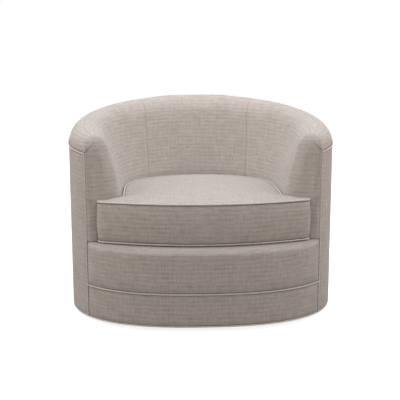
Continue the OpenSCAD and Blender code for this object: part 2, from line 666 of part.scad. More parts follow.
function tie_z(share) = max([for (i = [0:spring_count - 1]) arch_z(i, tie_y(share))])
    + wire_r + tie_r + seat_gap;
module spring_ties() {
    reach = spring_x(spring_count - 1) + spring_half_w;
    color("gray") for (share = tie_shares)
        translate([-reach, tie_y(share), tie_z(share)]) rotate([0, 90, 0])
            cylinder(r = tie_r, h = 2 * reach, $fn = 24);
}
insulator_t = 2.5;
pad_z = seat_gap + tie_r + max([for (share = tie_shares) tie_z(share)]);
tuck_share = 0.9;
// The deck's plan: tucked under the walls, and behind the flap of the front border
module deck_plan() {
    ahead = chair_d;
    side = wall_pt(-arm_end_angle, tuck_share)[0];
    front_angles = arc_angles(180 + arm_end_angle, 360 - arm_end_angle, front_segments);
    difference() {
        polygon(concat([for (a = arc_angles(-arm_end_angle, 180 + arm_end_angle, welt_segments))
                           wall_pt(a, tuck_share)], [[-side, -ahead], [side, -ahead]]));
        polygon(concat([for (a = front_angles) inset_pt(a, flap_depth + seat_gap)],
                       [[ahead, arm_end_y], [ahead, -ahead - over],
                        [-ahead, -ahead - over], [-ahead, arm_end_y]]));
    }
}
module spring_insulator() {
    color("khaki") translate([0, 0, pad_z]) linear_extrude(insulator_t) deck_plan();
}
module deck_pad() {
    low = pad_z + insulator_t + seat_gap;
    color(foam_colour) translate([0, 0, low]) linear_extrude(deck_z - cloth_t - seat_gap - low) deck_plan();
}
module deck_cover() {
    color(cover_colour) translate([0, 0, deck_z - cloth_t]) linear_extrude(cloth_t) deck_plan();
}

// LOOSE CUSHION
cushion_back_n = 8;
cushion_nose_n = 3;
cushion_corner_n = 3;
cushion_front_n = 4;
// Above 1 this sets the plan's points closer together where the nose turns most
nose_ease = 1.3;
nose_stop_share = 0.37;
front_half_w = 347;
corner_x = 355;
corner_y = 312;
front_bow = 70;
back_drop = 14;
drawn_in = 3;
crown_sag = 4.2;
function gap_share(a) = 1 + cushion_gap / wall_w(a);
function cushion_nose(u) = let (g = gap_share(-arm_end_angle))
    nose_pt(1, -arm_end_angle, 1 - g, g, u) - [0, 3 * u * (1 - u) * cushion_gap];
function front_pt(s) = [front_half_w * s, front_bow * s * s - cushion_front];
// The front corner is rounded off between the nose and a place on the front
corner_stop_share = 0.88;
corner_from = cushion_nose(nose_stop_share);
corner_to = front_pt(corner_stop_share);
corner_mid = [corner_x, -corner_y];
function corner_pt(u) = (1 - u) * (1 - u) * corner_from + 2 * (1 - u) * u * corner_mid + u * u * corner_to;
// Right half of the plan from the middle of the back to the middle of the front
cushion_half = concat(
    [for (a = concat(arc_angles(90, 0, cushion_back_n), [-arm_end_angle])) wall_pt(a, gap_share(a))],
    [for (q = [1:cushion_nose_n]) cushion_nose(mix(1, nose_stop_share, pow(q / cushion_nose_n, nose_ease)))],
    [for (q = [1:cushion_corner_n]) corner_pt(q / cushion_corner_n)],
    [for (q = [1:cushion_front_n]) front_pt(1 - q / cushion_front_n)]);
half_n = len(cushion_half);
cushion_plan = concat(cushion_half, [for (i = [half_n - 2:-1:1]) [-cushion_half[i][0], cushion_half[i][1]]]);
cushion_n = len(cushion_plan);
function plan_side(i) = unit(cushion_plan[(i + 1) % cushion_n]
    - cushion_plan[(i + cushion_n - 1) % cushion_n]);
// The plan set in by a distance
function cushion_ring(inset) = [for (i = [0:cushion_n - 1]) let (t = plan_side(i))
    cushion_plan[i] + inset * [t[1], -t[0]]];
heart_y = -170;
function towards_heart(p, share) = [p[0] * share, mix(heart_y, p[1], share)];
function ring_at(inset, share, z) = [for (p = cushion_ring(inset))
    let (q = towards_heart(p, share)) [q[0], q[1], z]];
function crown_ring(inset, share, depth) = [for (p = cushion_ring(inset)) let (q = towards_heart(p, share))
    [q[0], q[1], crown_z(share, depth, q[1])]];
cushion_low = deck_z + seat_gap + crown_sag + welt_r / 2;
cushion_top = cushion_low + cushion_band_h;
panel_shares = [1, 0.86, 0.6, 0.3];
crown_power = 2.6;
function back_fall(y) = back_drop * (cushion_front + y) / (cushion_front + widest_y + seat_back_depth);
function crown_z(share, depth, y) = cushion_top - depth - back_fall(y)
    + cushion_crown * (1 - pow(share, crown_power));
function sag_z(share, depth) = cushion_low - crown_sag * (1 - pow(share, crown_power)) + depth;
panel_inset = drawn_in + welt_room + 3 * seat_gap;
// Share of the cord's radius that the flat panel's edge stays clear of its middle
rim_share = 0.9;

// A panel between matching closed rings above and below, each closed at its middle
module panel(high, low, high_mid, low_mid) {
    n = len(high[0]);
    m = len(high);
    shift = n * m;
    skin = [for (r = [0:m - 2], c = [0:n - 1])
        each quad(r * n + c, r * n + (c + 1) % n, (r + 1) * n + (c + 1) % n, (r + 1) * n + c)];
    fan_high = [for (c = [0:n - 1]) [(m - 1) * n + c, (m - 1) * n + (c + 1) % n, 2 * shift]];
    fan_low = [for (c = [0:n - 1])
        [shift + (m - 1) * n + (c + 1) % n, shift + (m - 1) * n + c, 2 * shift + 1]];
    rim = [for (c = [0:n - 1]) each quad((c + 1) % n, c, shift + c, shift + (c + 1) % n)];
    polyhedron(concat(flat(high), flat(low), [[0, heart_y, high_mid], [0, heart_y, low_mid]]),
               concat(skin, turned(skin, shift), fan_high, fan_low, rim), convexity = 6);
}
module cushion_top_panel() {
    color(cover_colour) panel(
        [for (s = panel_shares) crown_ring(panel_inset, s, 0)],
        [for (s = panel_shares) crown_ring(panel_inset, s, cloth_t)],
        crown_z(0, 0, heart_y), crown_z(0, cloth_t, heart_y));
}
module cushion_bottom_panel() {
    color(cover_colour) translate([0, 0, sag_z(0, 0)]) linear_extrude(cloth_t)
        offset(delta = -drawn_in - rim_share * welt_r) polygon(cushion_plan);
}
module cushion_core() {
    side = panel_inset + seat_gap;
    under = cloth_t + 6 * seat_gap;
    low = [ring_at(side, 1, sag_z(0, under))];
    mid = [ring_at(side - drawn_in, 1, (cushion_low + cushion_top) / 2)];
    high = [for (s = panel_shares) crown_ring(side, s, under)];
    color(foam_colour) loft(concat(low, mid, high));
}
band_shares = [0, 0.5, 1];
function band_bulge(share) = drawn_in * pow(2 * share - 1, 2);
function band_z(share, y) = mix(cushion_low + welt_room, cushion_top - back_fall(y) - welt_room, share);
zip_end = 6;
function band_points(inset, from, to) = [for (s = band_shares)
    let (ring = cushion_ring(inset + band_bulge(s)))
    [for (i = [from:to]) let (p = ring[(i + cushion_n) % cushion_n]) [p[0], p[1], band_z(s, p[1])]]];
module cushion_boxing() {
    color(cover_colour) sheet(band_points(0, zip_end, cushion_n - zip_end),
                              band_points(cloth_t, zip_end, cushion_n - zip_end));
}
module cushion_zip_boxing() {
    color(cover_colour) sheet(band_points(0, -zip_end, zip_end), band_points(cloth_t, -zip_end, zip_end));
}
module cushion_top_welt() {
    color(welt_colour) welt(crown_ring(drawn_in, 1, 0), closed = true);
}
module cushion_bottom_welt() {
    color(welt_colour) welt(ring_at(drawn_in, 1, cushion_low), closed = true);
}

// SWIVEL AND PLINTH
swivel_z = glide_h + plinth_t;
swivel_top = swivel_z + swivel_h;
race_lip = 2;
plate_corner_share = 0.66;
fixing_edge = 17;
fixing_x = plate_side / 2 - fixing_edge;
screw_r = 2.4;
screw_head_r = 5;
screw_head_h = 2.4;
screw_length = 13;
fixing_fit = 0.1;
rivet_head_r = 16;
rivet_head_t = 3;
bolt_r = 3;
bolt_head_r = 5.5;
bolt_head_h = 4;
nut_r = 4;
nut_flange_r = 9.5;
nut_flange_t = 1.2;
nut_depth = 10;
module at_fixings() {
    for (x = [-fixing_x, fixing_x], y = [-fixing_x, fixing_x]) translate([x, y, 0]) children();
}
module floor_glides() {
    edge = glide_h / 3;
    color("dimgray") for (i = [0:glide_count - 1])
        rotate([0, 0, 360 * (i + 0.5) / glide_count]) translate([plinth_r - 2 * glide_r, 0, 0])
            rotate_extrude($fn = 64)
                polygon([[0, 0], [glide_r - edge, 0], [glide_r, edge],
                         [glide_r, glide_h], [0, glide_h]]);
}
module plinth_board() {
    color("saddlebrown") difference() {
        translate([0, 0, glide_h]) cylinder(r = plinth_r, h = plinth_t, $fn = 160);
        cylinder(r = rivet_head_r + welt_r, h = 2 * swivel_z, $fn = 64);
        translate([0, 0, swivel_z + plate_t - screw_length - seat_gap]) at_fixings()
            cylinder(r = screw_r + fixing_fit, h = screw_length, $fn = 32);
    }
}
// One swivel plate, its race facing up
module race_plate(hole_r) {
    middle = swivel_h / 2;
    groove = ball_r + race_gap;
    difference() {
        union() {
            linear_extrude(plate_t) intersection() {
                square(plate_side, center = true);
                circle(r = plate_side * plate_corner_share, $fn = 120);
            }
            rotate_extrude($fn = 160) difference() {
                intersection() {
                    translate([race_r, middle]) circle(r = groove + plate_t, $fn = 64);
                    translate([race_r - groove - plate_t, 0])
                        square([2 * (groove + plate_t), middle - race_lip]);
                }
                translate([race_r, middle]) circle(r = groove, $fn = 64);
            }
        }
        translate([0, 0, -over]) cylinder(r = rivet_r + rivet_fit, h = plate_t + 2 * over, $fn = 64);
        translate([0, 0, -over]) at_fixings() cylinder(r = hole_r, h = plate_t + 2 * over, $fn = 32);
    }
}
module swivel_lower_plate() {
    color(steel_colour) translate([0, 0, swivel_z]) race_plate(screw_r + fixing_fit);
}
module swivel_upper_plate() {
    color(steel_colour) translate([0, 0, swivel_top]) mirror([0, 0, 1]) race_plate(bolt_r + fixing_fit);
}
module swivel_rivet() {
    color("silver") {
        translate([0, 0, swivel_z - rivet_head_t]) cylinder(r = rivet_head_r, h = rivet_head_t, $fn = 64);
        translate([0, 0, swivel_z - rivet_head_t])
            cylinder(r = rivet_r, h = swivel_h + 2 * rivet_head_t + seat_gap, $fn = 64);
        translate([0, 0, swivel_top + seat_gap]) cylinder(r = rivet_head_r, h = rivet_head_t, $fn = 64);
    }
}
module at_balls() {
    for (i = [0:ball_count - 1]) rotate([0, 0, 360 * i / ball_count]) translate([race_r, 0, 0]) children();
}
module bearing_balls() {
    color("silver") translate([0, 0, (swivel_z + swivel_top) / 2]) at_balls() sphere(r = ball_r, $fn = 48);
}
retainer_t = 1.5;
retainer_side = 2.5;
module ball_retainer() {
    reach = ball_r + retainer_side;
    color("ivory") translate([0, 0, (swivel_z + swivel_top - retainer_t) / 2])
        linear_extrude(retainer_t) difference() {
            circle(r = race_r + reach, $fn = 160);
            circle(r = race_r - reach, $fn = 160);
            at_balls() circle(r = ball_r + race_gap, $fn = 48);
        }
}
module lower_plate_screws() {
    color("silver") translate([0, 0, swivel_z + plate_t]) at_fixings() {
        cylinder(r = screw_head_r, h = screw_head_h, $fn = 32);
        translate([0, 0, -screw_length]) cylinder(r = screw_r, h = screw_length + screw_head_h, $fn = 32);
    }
}
board_size = [590, 300];
board_top = swivel_top + ply_t;
module upper_plate_bolts() {
    color("silver") translate([0, 0, swivel_top - plate_t - bolt_head_h]) at_fixings() {
        cylinder(r = bolt_head_r, h = bolt_head_h, $fn = 6);
        cylinder(r = bolt_r, h = bolt_head_h + plate_t + ply_t - seat_gap, $fn = 32);
    }
}
module tee_nuts() {
    color("gold") translate([0, 0, board_top - nut_depth]) at_fixings() difference() {
        union() {
            cylinder(r = nut_r, h = nut_depth + nut_flange_t, $fn = 32);
            translate([0, 0, nut_depth]) cylinder(r = nut_flange_r, h = nut_flange_t, $fn = 48);
        }
        translate([0, 0, -over]) cylinder(r = bolt_r + fixing_fit, h = nut_depth + 2 * over, $fn = 32);
    }
}
module swivel_board() {
    color(ply_colour) difference() {
        translate([-board_size[0] / 2, -board_size[1] / 2, swivel_top])
            cube([board_size[0], board_size[1], ply_t]);
        translate([0, 0, swivel_top - over]) {
            cylinder(r = rivet_head_r + welt_r, h = ply_t + 2 * over, $fn = 64);
            at_fixings() cylinder(r = nut_r + fixing_fit, h = ply_t + 2 * over, $fn = 32);
            at_board_screws() cylinder(r = screw_r + fixing_fit, h = ply_t + 2 * over, $fn = 32);
        }
    }
}
board_screw_edge = 14;
board_screw_share = 0.75;
module at_board_screws() {
    for (side = [-1, 1], row = [-1:1])
        translate([side * (board_size[0] / 2 - board_screw_edge),
                   row * board_screw_share * board_size[1] / 2, 0])
            children();
}
board_screw_length = 32;
module board_screws() {
    color("silver") translate([0, 0, board_top]) at_board_screws() {
        cylinder(r = screw_head_r, h = screw_head_h, $fn = 32);
        translate([0, 0, -board_screw_length])
            cylinder(r = screw_r, h = board_screw_length + screw_head_h, $fn = 32);
    }
}
dust_t = 1;
module dust_cover() {
    color("black") translate([0, 0, base_z - dust_t]) linear_extrude(dust_t) difference() {
        polygon([for (a = full_turn(2 * hem_segments)) inset_pt(a, frame_inset)]);
        circle(r = base_hole_r - over, $fn = 120);
    }
}

floor_glides();
plinth_board();
swivel_lower_plate();
lower_plate_screws();
swivel_rivet();
bearing_balls();
ball_retainer();
swivel_upper_plate();
upper_plate_bolts();
tee_nuts();
swivel_board();
board_screws();
base_panel();
front_studs();
front_posts();
corner_blocks();
wall_ribs();
seat_ring();
top_rail();
front_liner();
outer_liner();
webbing();
seat_springs();
spring_clips();
spring_ties();
spring_insulator();
deck_pad();
deck_cover();
inside_foam();
inside_back_cover();
left_arm_cover();
right_arm_cover();
outside_cover();
outside_welt();
arm_front_welts();
front_foam();
front_border();
band_welt();
base_band();
hem_welt();
dust_cover();
cushion_core();
cushion_top_panel();
cushion_bottom_panel();
cushion_boxing();
cushion_zip_boxing();
cushion_top_welt();
cushion_bottom_welt();
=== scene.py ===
"""Swivel barrel chair: upholstery, cushion, welts, finishes and studio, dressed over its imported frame."""
import math

import bmesh
import bpy
import numpy as np
from bpy.props import FloatProperty, FloatVectorProperty, PointerProperty
from bpy.types import Operator, Panel, PropertyGroup
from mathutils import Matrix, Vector, kdtree, noise


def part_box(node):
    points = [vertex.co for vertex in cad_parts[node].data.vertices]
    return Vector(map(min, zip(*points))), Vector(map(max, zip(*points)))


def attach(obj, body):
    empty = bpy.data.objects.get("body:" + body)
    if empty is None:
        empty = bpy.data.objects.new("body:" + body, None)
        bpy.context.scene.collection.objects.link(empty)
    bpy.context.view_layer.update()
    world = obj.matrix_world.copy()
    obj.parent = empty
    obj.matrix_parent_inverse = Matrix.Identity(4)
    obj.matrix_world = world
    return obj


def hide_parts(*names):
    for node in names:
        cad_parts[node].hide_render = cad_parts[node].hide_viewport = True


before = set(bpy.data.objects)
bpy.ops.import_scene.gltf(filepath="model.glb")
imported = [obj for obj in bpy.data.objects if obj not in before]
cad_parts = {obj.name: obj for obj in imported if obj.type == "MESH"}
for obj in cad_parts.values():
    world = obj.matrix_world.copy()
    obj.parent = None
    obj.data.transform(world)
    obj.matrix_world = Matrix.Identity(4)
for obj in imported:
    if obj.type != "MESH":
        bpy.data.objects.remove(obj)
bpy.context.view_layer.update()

bl_info = {
    "name": "Swivel Barrel Chair",
    "version": (1, 0, 0),
    "blender": (4, 5, 0),
    "location": "View3D > Sidebar > Barrel Chair",
    "description": "Dresses the frame of a swivel barrel chair with cloth, welts and a loose cushion",
    "category": "Object",
}

# THE PLAN, in metres and degrees: the same named values as the part's source
HALF_WIDTH, WIDEST_Y = 0.445, -0.060
BACK_DEPTH, FRONT_DEPTH = 0.4725, 0.3525
BACK_POWER, FRONT_POWER, SEAT_POWER = 2.12, 2.5, 2.3
ARM_END = 34.5
SEAT_HALF_WIDTH, SEAT_BACK_DEPTH, SEAT_FRONT_DEPTH = 0.268, 0.285, 0.155
BACK_HEIGHT, RIM_DROP, RIM_POWER, CROWN_Y = 0.680, 0.051, 0.75, 0.360
DECK_Z, HEM_Z, BAND_WELT_Z = 0.270, 0.018, 0.125
WELT_R, CLOTH, GAP = 0.0025, 0.0025, 0.0003
WELT_ROOM = WELT_R + GAP
SEAM_LOW, SEAM_HIGH = 48.0, 59.0
ARM_EDGE_R = 0.022
NOSE_OUT, NOSE_IN = 0.014, 0.050
# The wall's section: share of height, share of width inside and outside, rounding of the front
WALL_SHARES = np.array([
    [0.002, 1.020, 0.000, 0.00], [0.170, 1.010, 0.000, 0.00], [0.334, 1.000, 0.000, 0.00],
    [0.488, 0.905, 0.000, 0.00], [0.634, 0.808, 0.000, 0.00], [0.756, 0.728, 0.000, 0.00],
    [0.845, 0.668, 0.000, 0.04], [0.910, 0.612, 0.028, 0.18], [0.960, 0.525, 0.094, 0.42],
    [0.990, 0.420, 0.180, 0.74], [0.999, 0.330, 0.248, 1.00]])
WELT_STATION = 6
WELT_SHARE = WALL_SHARES[WELT_STATION, 0]
CROWN_SHARE = 0.289
ROLL_R, END_ROLL_R, FLAP_DEPTH = 0.020, 0.007, 0.112

# HOW THE CLOTH LIES, in metres
# How deep a cloth's edge turns in and how far from it that starts: at a welt, a dart and a plain seam
WELT_TURN, DART_TURN, PLAIN_TURN = (0.0019, 0.0045), (0.0010, 0.0040), (0.0013, 0.0070)
# The painted shade at a plain seam is as light as the painted shade this far from a welt
PLAIN_SEAM_SHADE_OFFSET = 0.0018
# Heights of the slow unevenness of walls, panels and cushion, and how soon it starts beside a seam
WALL_WAVE, PANEL_WAVE, CUSHION_WAVE = 0.0009, 0.0006, 0.0007
WALL_CALM, PANEL_CALM = 0.03, 0.025
# A line inside the crown that the wall's cloth lies round: its share of the width, its depth under the rim
HEART_SHARE, HEART_DEPTH = 0.33, 0.058
# The soft roll beside the arm's outer corner: its height, its place across the front and its two reaches
NOSE_ROLL, NOSE_ROLL_AT, NOSE_ROLL_REACH = 0.006, 0.20, (0.09, 0.17)
# Stuffing of the arm over the cushion, inside and at its turn: height, distance from the turn, two reaches
ARM_FILLING = ((0.0110, -0.080, (0.110, 0.050)), (0.0035, 0.036, (0.020, 0.020)))
# How much of that stuffing there is at shares of the wall's height
FILLING_LEVELS, FILLING_SHARES = [0.42, 0.62, 0.90, 1.0], [0.10, 1.0, 0.7, 0.0]
# The mitre over each arm's corner: its slope, its width and the height where it ends
MITRE_SLOPE, MITRE_WIDTH, MITRE_TOP = 0.9, 0.75, 0.030
# Stuffing of the border's face: its height, how soon it swells beside a seam and the tilt where it ends
BORDER_FILLING, SWELL_REACH, FACE_TILT = 0.0055, 0.045, 1.35
END_ROLL_REACH = 0.05
NEAR_ZERO = 1e-12


def power(value, exponent):
    """A power that keeps its base's sign."""
    return np.sign(value) * np.abs(value) ** exponent


def unit(vectors):
    return vectors / np.maximum(np.linalg.norm(vectors, axis=-1, keepdims=True), NEAR_ZERO)


def hill(value, middle, reaches):
    """A smooth rise to 1 at its middle, with its own reach before and after it."""
    return np.exp(-((value - middle) / np.where(value < middle, *reaches)) ** 2)


def cos_sin(angle):
    return np.cos(np.radians(angle)), np.sin(np.radians(angle))


def outer_curve(angle):
    """Cosine, sine, exponent and depth of the outer plan's curve at angles in degrees."""
    c, s = cos_sin(angle)
    behind = s >= 0
    return c, s, 2 / np.where(behind, BACK_POWER, FRONT_POWER), np.where(behind, BACK_DEPTH, FRONT_DEPTH)


def outer_plan(angle):
    """Points of the outer plan at angles in degrees, from the widest line."""
    c, s, e, depth = outer_curve(angle)
    return np.stack([HALF_WIDTH * power(c, e), WIDEST_Y + depth * power(s, e)], -1)


def outer_normal(angle):
    c, s, e, depth = outer_curve(angle)
    return unit(np.stack([power(c, 2 - e) / HALF_WIDTH, power(s, 2 - e) / depth], -1))


def inset_plan(angle, inset):
    return outer_plan(angle) - np.asarray(inset)[..., None] * outer_normal(angle)


def inner_plan(angle):
    """Points of the inner plan: a curve round the back, and a straight line along each arm."""
    angle = np.asarray(angle, float)
    past = np.maximum(0, np.maximum(-angle, angle - 180))
    c, s = cos_sin(angle)
    straight = np.stack([np.sign(c) * SEAT_HALF_WIDTH, WIDEST_Y - SEAT_FRONT_DEPTH * past / ARM_END], -1)
    curved = np.stack([SEAT_HALF_WIDTH * power(c, 2 / SEAT_POWER),
                       WIDEST_Y + SEAT_BACK_DEPTH * power(s, 2 / SEAT_POWER)], -1)
    return np.where((past > 0)[..., None], straight, curved)


def wall_plan(angle, share):
    """Points between the outer plan, at share 0, and the inner plan, at share 1."""
    outer = outer_plan(angle)
    return outer + (inner_plan(angle) - outer) * np.asarray(share)[..., None]


def rim_z(y):
    return BACK_HEIGHT - RIM_DROP * (np.maximum(0, CROWN_Y - y) / (CROWN_Y - WIDEST_Y)) ** RIM_POWER


def lifted(plan, z):
    """Plan points with their heights."""
    return np.concatenate([plan, np.broadcast_to(z, plan.shape[:-1])[..., None]], -1)


def raised(plan, share):
    """Plan points lifted to a share of the wall's height over them."""
    return lifted(plan, DECK_Z + share * (rim_z(plan[..., 1]) - DECK_Z))


def smooth_through(points, per_span=12):
    """A smooth line through rows of numbers, which keeps to them."""
    p = np.vstack([2 * points[0] - points[1], points, 2 * points[-1] - points[-2]])
    out = []
    for i in range(1, len(p) - 2):
        for t in np.linspace(0, 1, per_span, endpoint=False):
            out.append(0.5 * (2 * p[i] + (p[i + 1] - p[i - 1]) * t
                              + (2 * p[i - 1] - 5 * p[i] + 4 * p[i + 1] - p[i + 2]) * t * t
                              + (3 * p[i] - p[i - 1] - 3 * p[i + 1] + p[i + 2]) * t ** 3))
    return np.array(out + [points[-1]])


def section_line(rows):
    """A function of the height share that runs smoothly through rows of share and value."""
    table = smooth_through(rows)
    heights = np.maximum.accumulate(table[:, 0])
    return lambda share: np.interp(share, heights, table[:, 1])


CROWN_STATION = [[1.0, CROWN_SHARE]]
INSIDE_AT = section_line(np.vstack([WALL_SHARES[:, [0, 1]], CROWN_STATION]))
OUTSIDE_AT = section_line(np.vstack([WALL_SHARES[WELT_STATION:, [0, 2]], CROWN_STATION]))
FRONT_AT = section_line(WALL_SHARES[:, [0, 3]])
END_SPEED = float(np.linalg.norm(outer_plan(1 - ARM_END) - outer_plan(-ARM_END)))
END_NORMAL = outer_normal(-ARM_END)
END_ALONG = np.array([END_NORMAL[1], -END_NORMAL[0]])


def end_angle(h):
    """Where the arm's wall turns into its front, at a share of the height."""
    return ARM_EDGE_R * FRONT_AT(h) / END_SPEED - ARM_END


def seam_angle(h):
    """Where the seam between back and arm runs, at a share of the height."""
    return SEAM_LOW + (SEAM_HIGH - SEAM_LOW) * h


def nose_plan(angle, out_share, in_share, u, roll=0.0):
    """The arm's rounded front in plan, from its outer corner at u 0 to its inner one at u 1."""
    o, i = wall_plan(angle, out_share), wall_plan(angle, in_share)
    w = np.asarray(in_share - out_share)[..., None]
    q, r = o + NOSE_OUT * w * END_ALONG, i - w * np.array([0, NOSE_IN])
    u = np.asarray(u)[..., None]
    forward = roll * w * hill(u, NOSE_ROLL_AT, NOSE_ROLL_REACH) * np.array([0, -1])
    return (1 - u) ** 3 * o + 3 * (1 - u) ** 2 * u * q + 3 * (1 - u) * u * u * r + u ** 3 * i + forward


def inward(points, angle):
    """Direction into the wall, towards a line inside its crown."""
    heart = wall_plan(angle, np.full(np.shape(angle), HEART_SHARE))
    return unit(lifted(heart, np.minimum(points[..., 2], rim_z(heart[..., 1]) - HEART_DEPTH)) - points)


def uneven(points, size, seed):
    """Slow hand-made unevenness at each point, from -1 to 1."""
    flat = points.reshape(-1, 3)
    values = [noise.noise(Vector((p[0] / size + seed, p[1] / size, p[2] / size))) for p in flat]
    return np.array(values).reshape(points.shape[:-1])


def along(points, axis):
    """Distance travelled along one direction of a grid."""
    steps = np.linalg.norm(np.diff(points, axis=axis), axis=-1)
    return np.concatenate([np.zeros_like(np.take(steps, [0], axis)), np.cumsum(steps, axis)], axis)


def from_sides(distance):
    """Distance from the nearer side of a grid, from its distance along its rows."""
    return np.minimum(distance, distance[:, -1:] - distance)


# MESHES
WELD = 1e-5


def placed(name, data):
    """A new object in the scene."""
    made = bpy.data.objects.new(name, data)
    bpy.context.scene.collection.objects.link(made)
    return made


def reshaped(mesh, change):
    """Makes a change to a mesh through its bmesh, and gives the mesh."""
    bm = bmesh.new()
    bm.from_mesh(mesh)
    change(bm)
    bm.to_mesh(mesh)
    bm.free()
    return mesh


def quads(rows, cols, keep=lambda r, c: True, wrap=False):
    """The faces of a grid of points, closed round its rows if it wraps."""
    count = cols if wrap else cols - 1
    return [(r * cols + c, r * cols + (c + 1) % cols, (r + 1) * cols + (c + 1) % cols, (r + 1) * cols + c)
            for r in range(rows - 1) for c in range(count) if keep(r, c)]


def fan(ring, tip, count):
    """Triangles from a ring of points, which starts at a number, to a tip."""
    return [(ring + c, ring + (c + 1) % count, tip) for c in range(count)]


def rims(faces):
    """The directed edges that only one face uses."""
    edges = {(f[i], f[(i + 1) % len(f)]) for f in faces for i in range(len(f))}
    return [e for e in edges if (e[1], e[0]) not in edges]


def weld(bm):
    """Merges doubles, drops loose points and turns the faces outwards."""
    bmesh.ops.remove_doubles(bm, verts=bm.verts, dist=WELD)
    bmesh.ops.delete(bm, geom=[v for v in bm.verts if not v.link_faces], context="VERTS")
    bmesh.ops.recalc_face_normals(bm, faces=bm.faces)
    if bm.calc_volume(signed=True) < 0:
        bmesh.ops.reverse_faces(bm, faces=bm.faces)


def make(name, points, faces, weave=None, seam=None):
    """A piece from points in metres, with its thread directions and its distance from a seam."""
    mesh = bpy.data.meshes.new(name)
    mesh.from_pydata([tuple(p) for p in points], [], faces)
    if weave is not None:
        mesh.attributes.new("weave", "FLOAT_VECTOR", "POINT").data.foreach_set(
            "vector", np.column_stack([weave, np.zeros(len(weave))]).astype(np.float32).ravel())
    # The distance from a seam sets the linen's painted shade beside seams and welts
    mesh.attributes.new("seam", "FLOAT", "POINT").data.foreach_set(
        "value", np.full(len(points), 1.0, np.float32) if seam is None else np.asarray(seam, np.float32))
    reshaped(mesh, weld).shade_smooth()
    return placed(name, mesh)


def cloth_shell(name, outer, inner, faces, weave, seam):
    """A closed cloth piece: a skin, its underside, and the turned edge between them."""
    n = len(outer)
    walls = [(b, a, a + n, b + n) for a, b in rims(faces)]
    under = [tuple(reversed([i + n for i in f])) for f in faces]
    return make(name, np.vstack([outer, inner]), list(faces) + under + walls,
                np.vstack([weave, weave]), np.concatenate([seam, seam]))


def settle(piece):
    """Turns what the piece's modifiers make into its plain mesh."""
    graph = bpy.context.evaluated_depsgraph_get()
    mesh = bpy.data.meshes.new_from_object(piece.evaluated_get(graph), depsgraph=graph)
    piece.modifiers.clear()
    piece.data = mesh
    return piece


def dress(piece, hue, body, nodes):
    """Gives a piece its finish, its body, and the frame's nodes that it replaces."""
    piece.data.materials.clear()
    piece.data.materials.append(finish(hue))
    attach(piece, body)
    if nodes:
        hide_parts(*nodes)
    return piece


def turned_edge(distance, turn=WELT_TURN):
    """How far a cloth's edge turns in, at a distance from its seam."""
    depth, reach = turn
    return depth * np.exp(-(distance / reach) ** 2)


# THE TUB'S COVERS
LOW_LEVELS = np.linspace(WALL_SHARES[0, 0], WELT_SHARE, 48)
HIGH_LEVELS = WELT_SHARE + (1 - WELT_SHARE) * np.sin(np.linspace(0, np.pi / 2, 17))[1:]
LEVELS = np.concatenate([LOW_LEVELS, HIGH_LEVELS])
WELT_ROW = len(LOW_LEVELS) - 1
# Rows that stand for the whole wall where its threads are measured across
WEAVE_ROWS = slice(10, 40)
EDGE_STEPS = np.array([0, 0.0012, 0.0028, 0.0050, 0.0080])
BACK_WIDTH, ARM_LENGTH = 0.62, 0.40
# Column shares across the arm's front, from its inner corner to its outer one
NOSE_COLUMNS = np.concatenate([np.linspace(1, 0.06, 34)[1:], [0.035, 0.014, 0.0]])
# Columns from the inside's last one to the middle of the arm's turn
TURN_COLUMNS = 3
# The arm's cloth faces the crown's inner line from at least this far behind its end, in degrees
END_LEAN = 9


def shares_from_edge(length, pitch=0.0075, both=False):
    """Column shares across a panel, close together at its seams."""
    near = EDGE_STEPS / length
    if both:
        return np.concatenate([near, np.linspace(near[-1], 1 - near[-1], round(length / pitch))[1:-1],
                               1 - near[::-1]])
    return np.concatenate([near, np.linspace(near[-1], 1, round(length / pitch))[1:]])


def finish_wall(name, points, angle, faces, edge, dart, plain_seam, seed, size=0.10, filling=0.0):
    """Turns the edges in, adds a little unevenness, and closes the cover round its thickness."""
    way = inward(points, angle)
    calm = np.clip(np.minimum(edge, plain_seam) / WALL_CALM, 0, 1)
    depth = (turned_edge(edge) + turned_edge(dart, DART_TURN) + turned_edge(plain_seam, PLAIN_TURN)
             - filling - WALL_WAVE * uneven(points, size, seed) * calm)
    u = np.broadcast_to(along(points[WEAVE_ROWS], 1).mean(0), points.shape[:2])
    v = along(points, 0)
    outer = points + way * depth[..., None]
    # Distance from the nearest seam, which sets the linen's painted shade; a plain seam gets less of it
    seam = np.minimum(np.minimum(edge, dart), plain_seam + PLAIN_SEAM_SHADE_OFFSET)
    return cloth_shell(name, outer.reshape(-1, 3), (outer + way * CLOTH).reshape(-1, 3), faces,
                       np.stack([u, v], -1).reshape(-1, 2), seam.ravel())


def back_cover():
    """The inside back, up from the deck, over the crown and down to the outside welt."""
    down = np.append(HIGH_LEVELS[-2::-1], WELT_SHARE)
    heights = np.concatenate([LEVELS, down])
    share = np.concatenate([INSIDE_AT(LEVELS), OUTSIDE_AT(down)])
    seam = seam_angle(heights)[:, None]
    angle = seam + (180 - 2 * seam) * shares_from_edge(BACK_WIDTH, both=True)
    points = raised(wall_plan(angle, np.broadcast_to(share[:, None], angle.shape)), heights[:, None])
    points[-1, :, 2] += WELT_ROOM
    sides, up = from_sides(along(points, 1)), along(points, 0)
    return finish_wall("inside_back", points, angle, quads(*angle.shape), up[-1:] - up,
                       np.ones_like(sides), sides, seed=3.1)


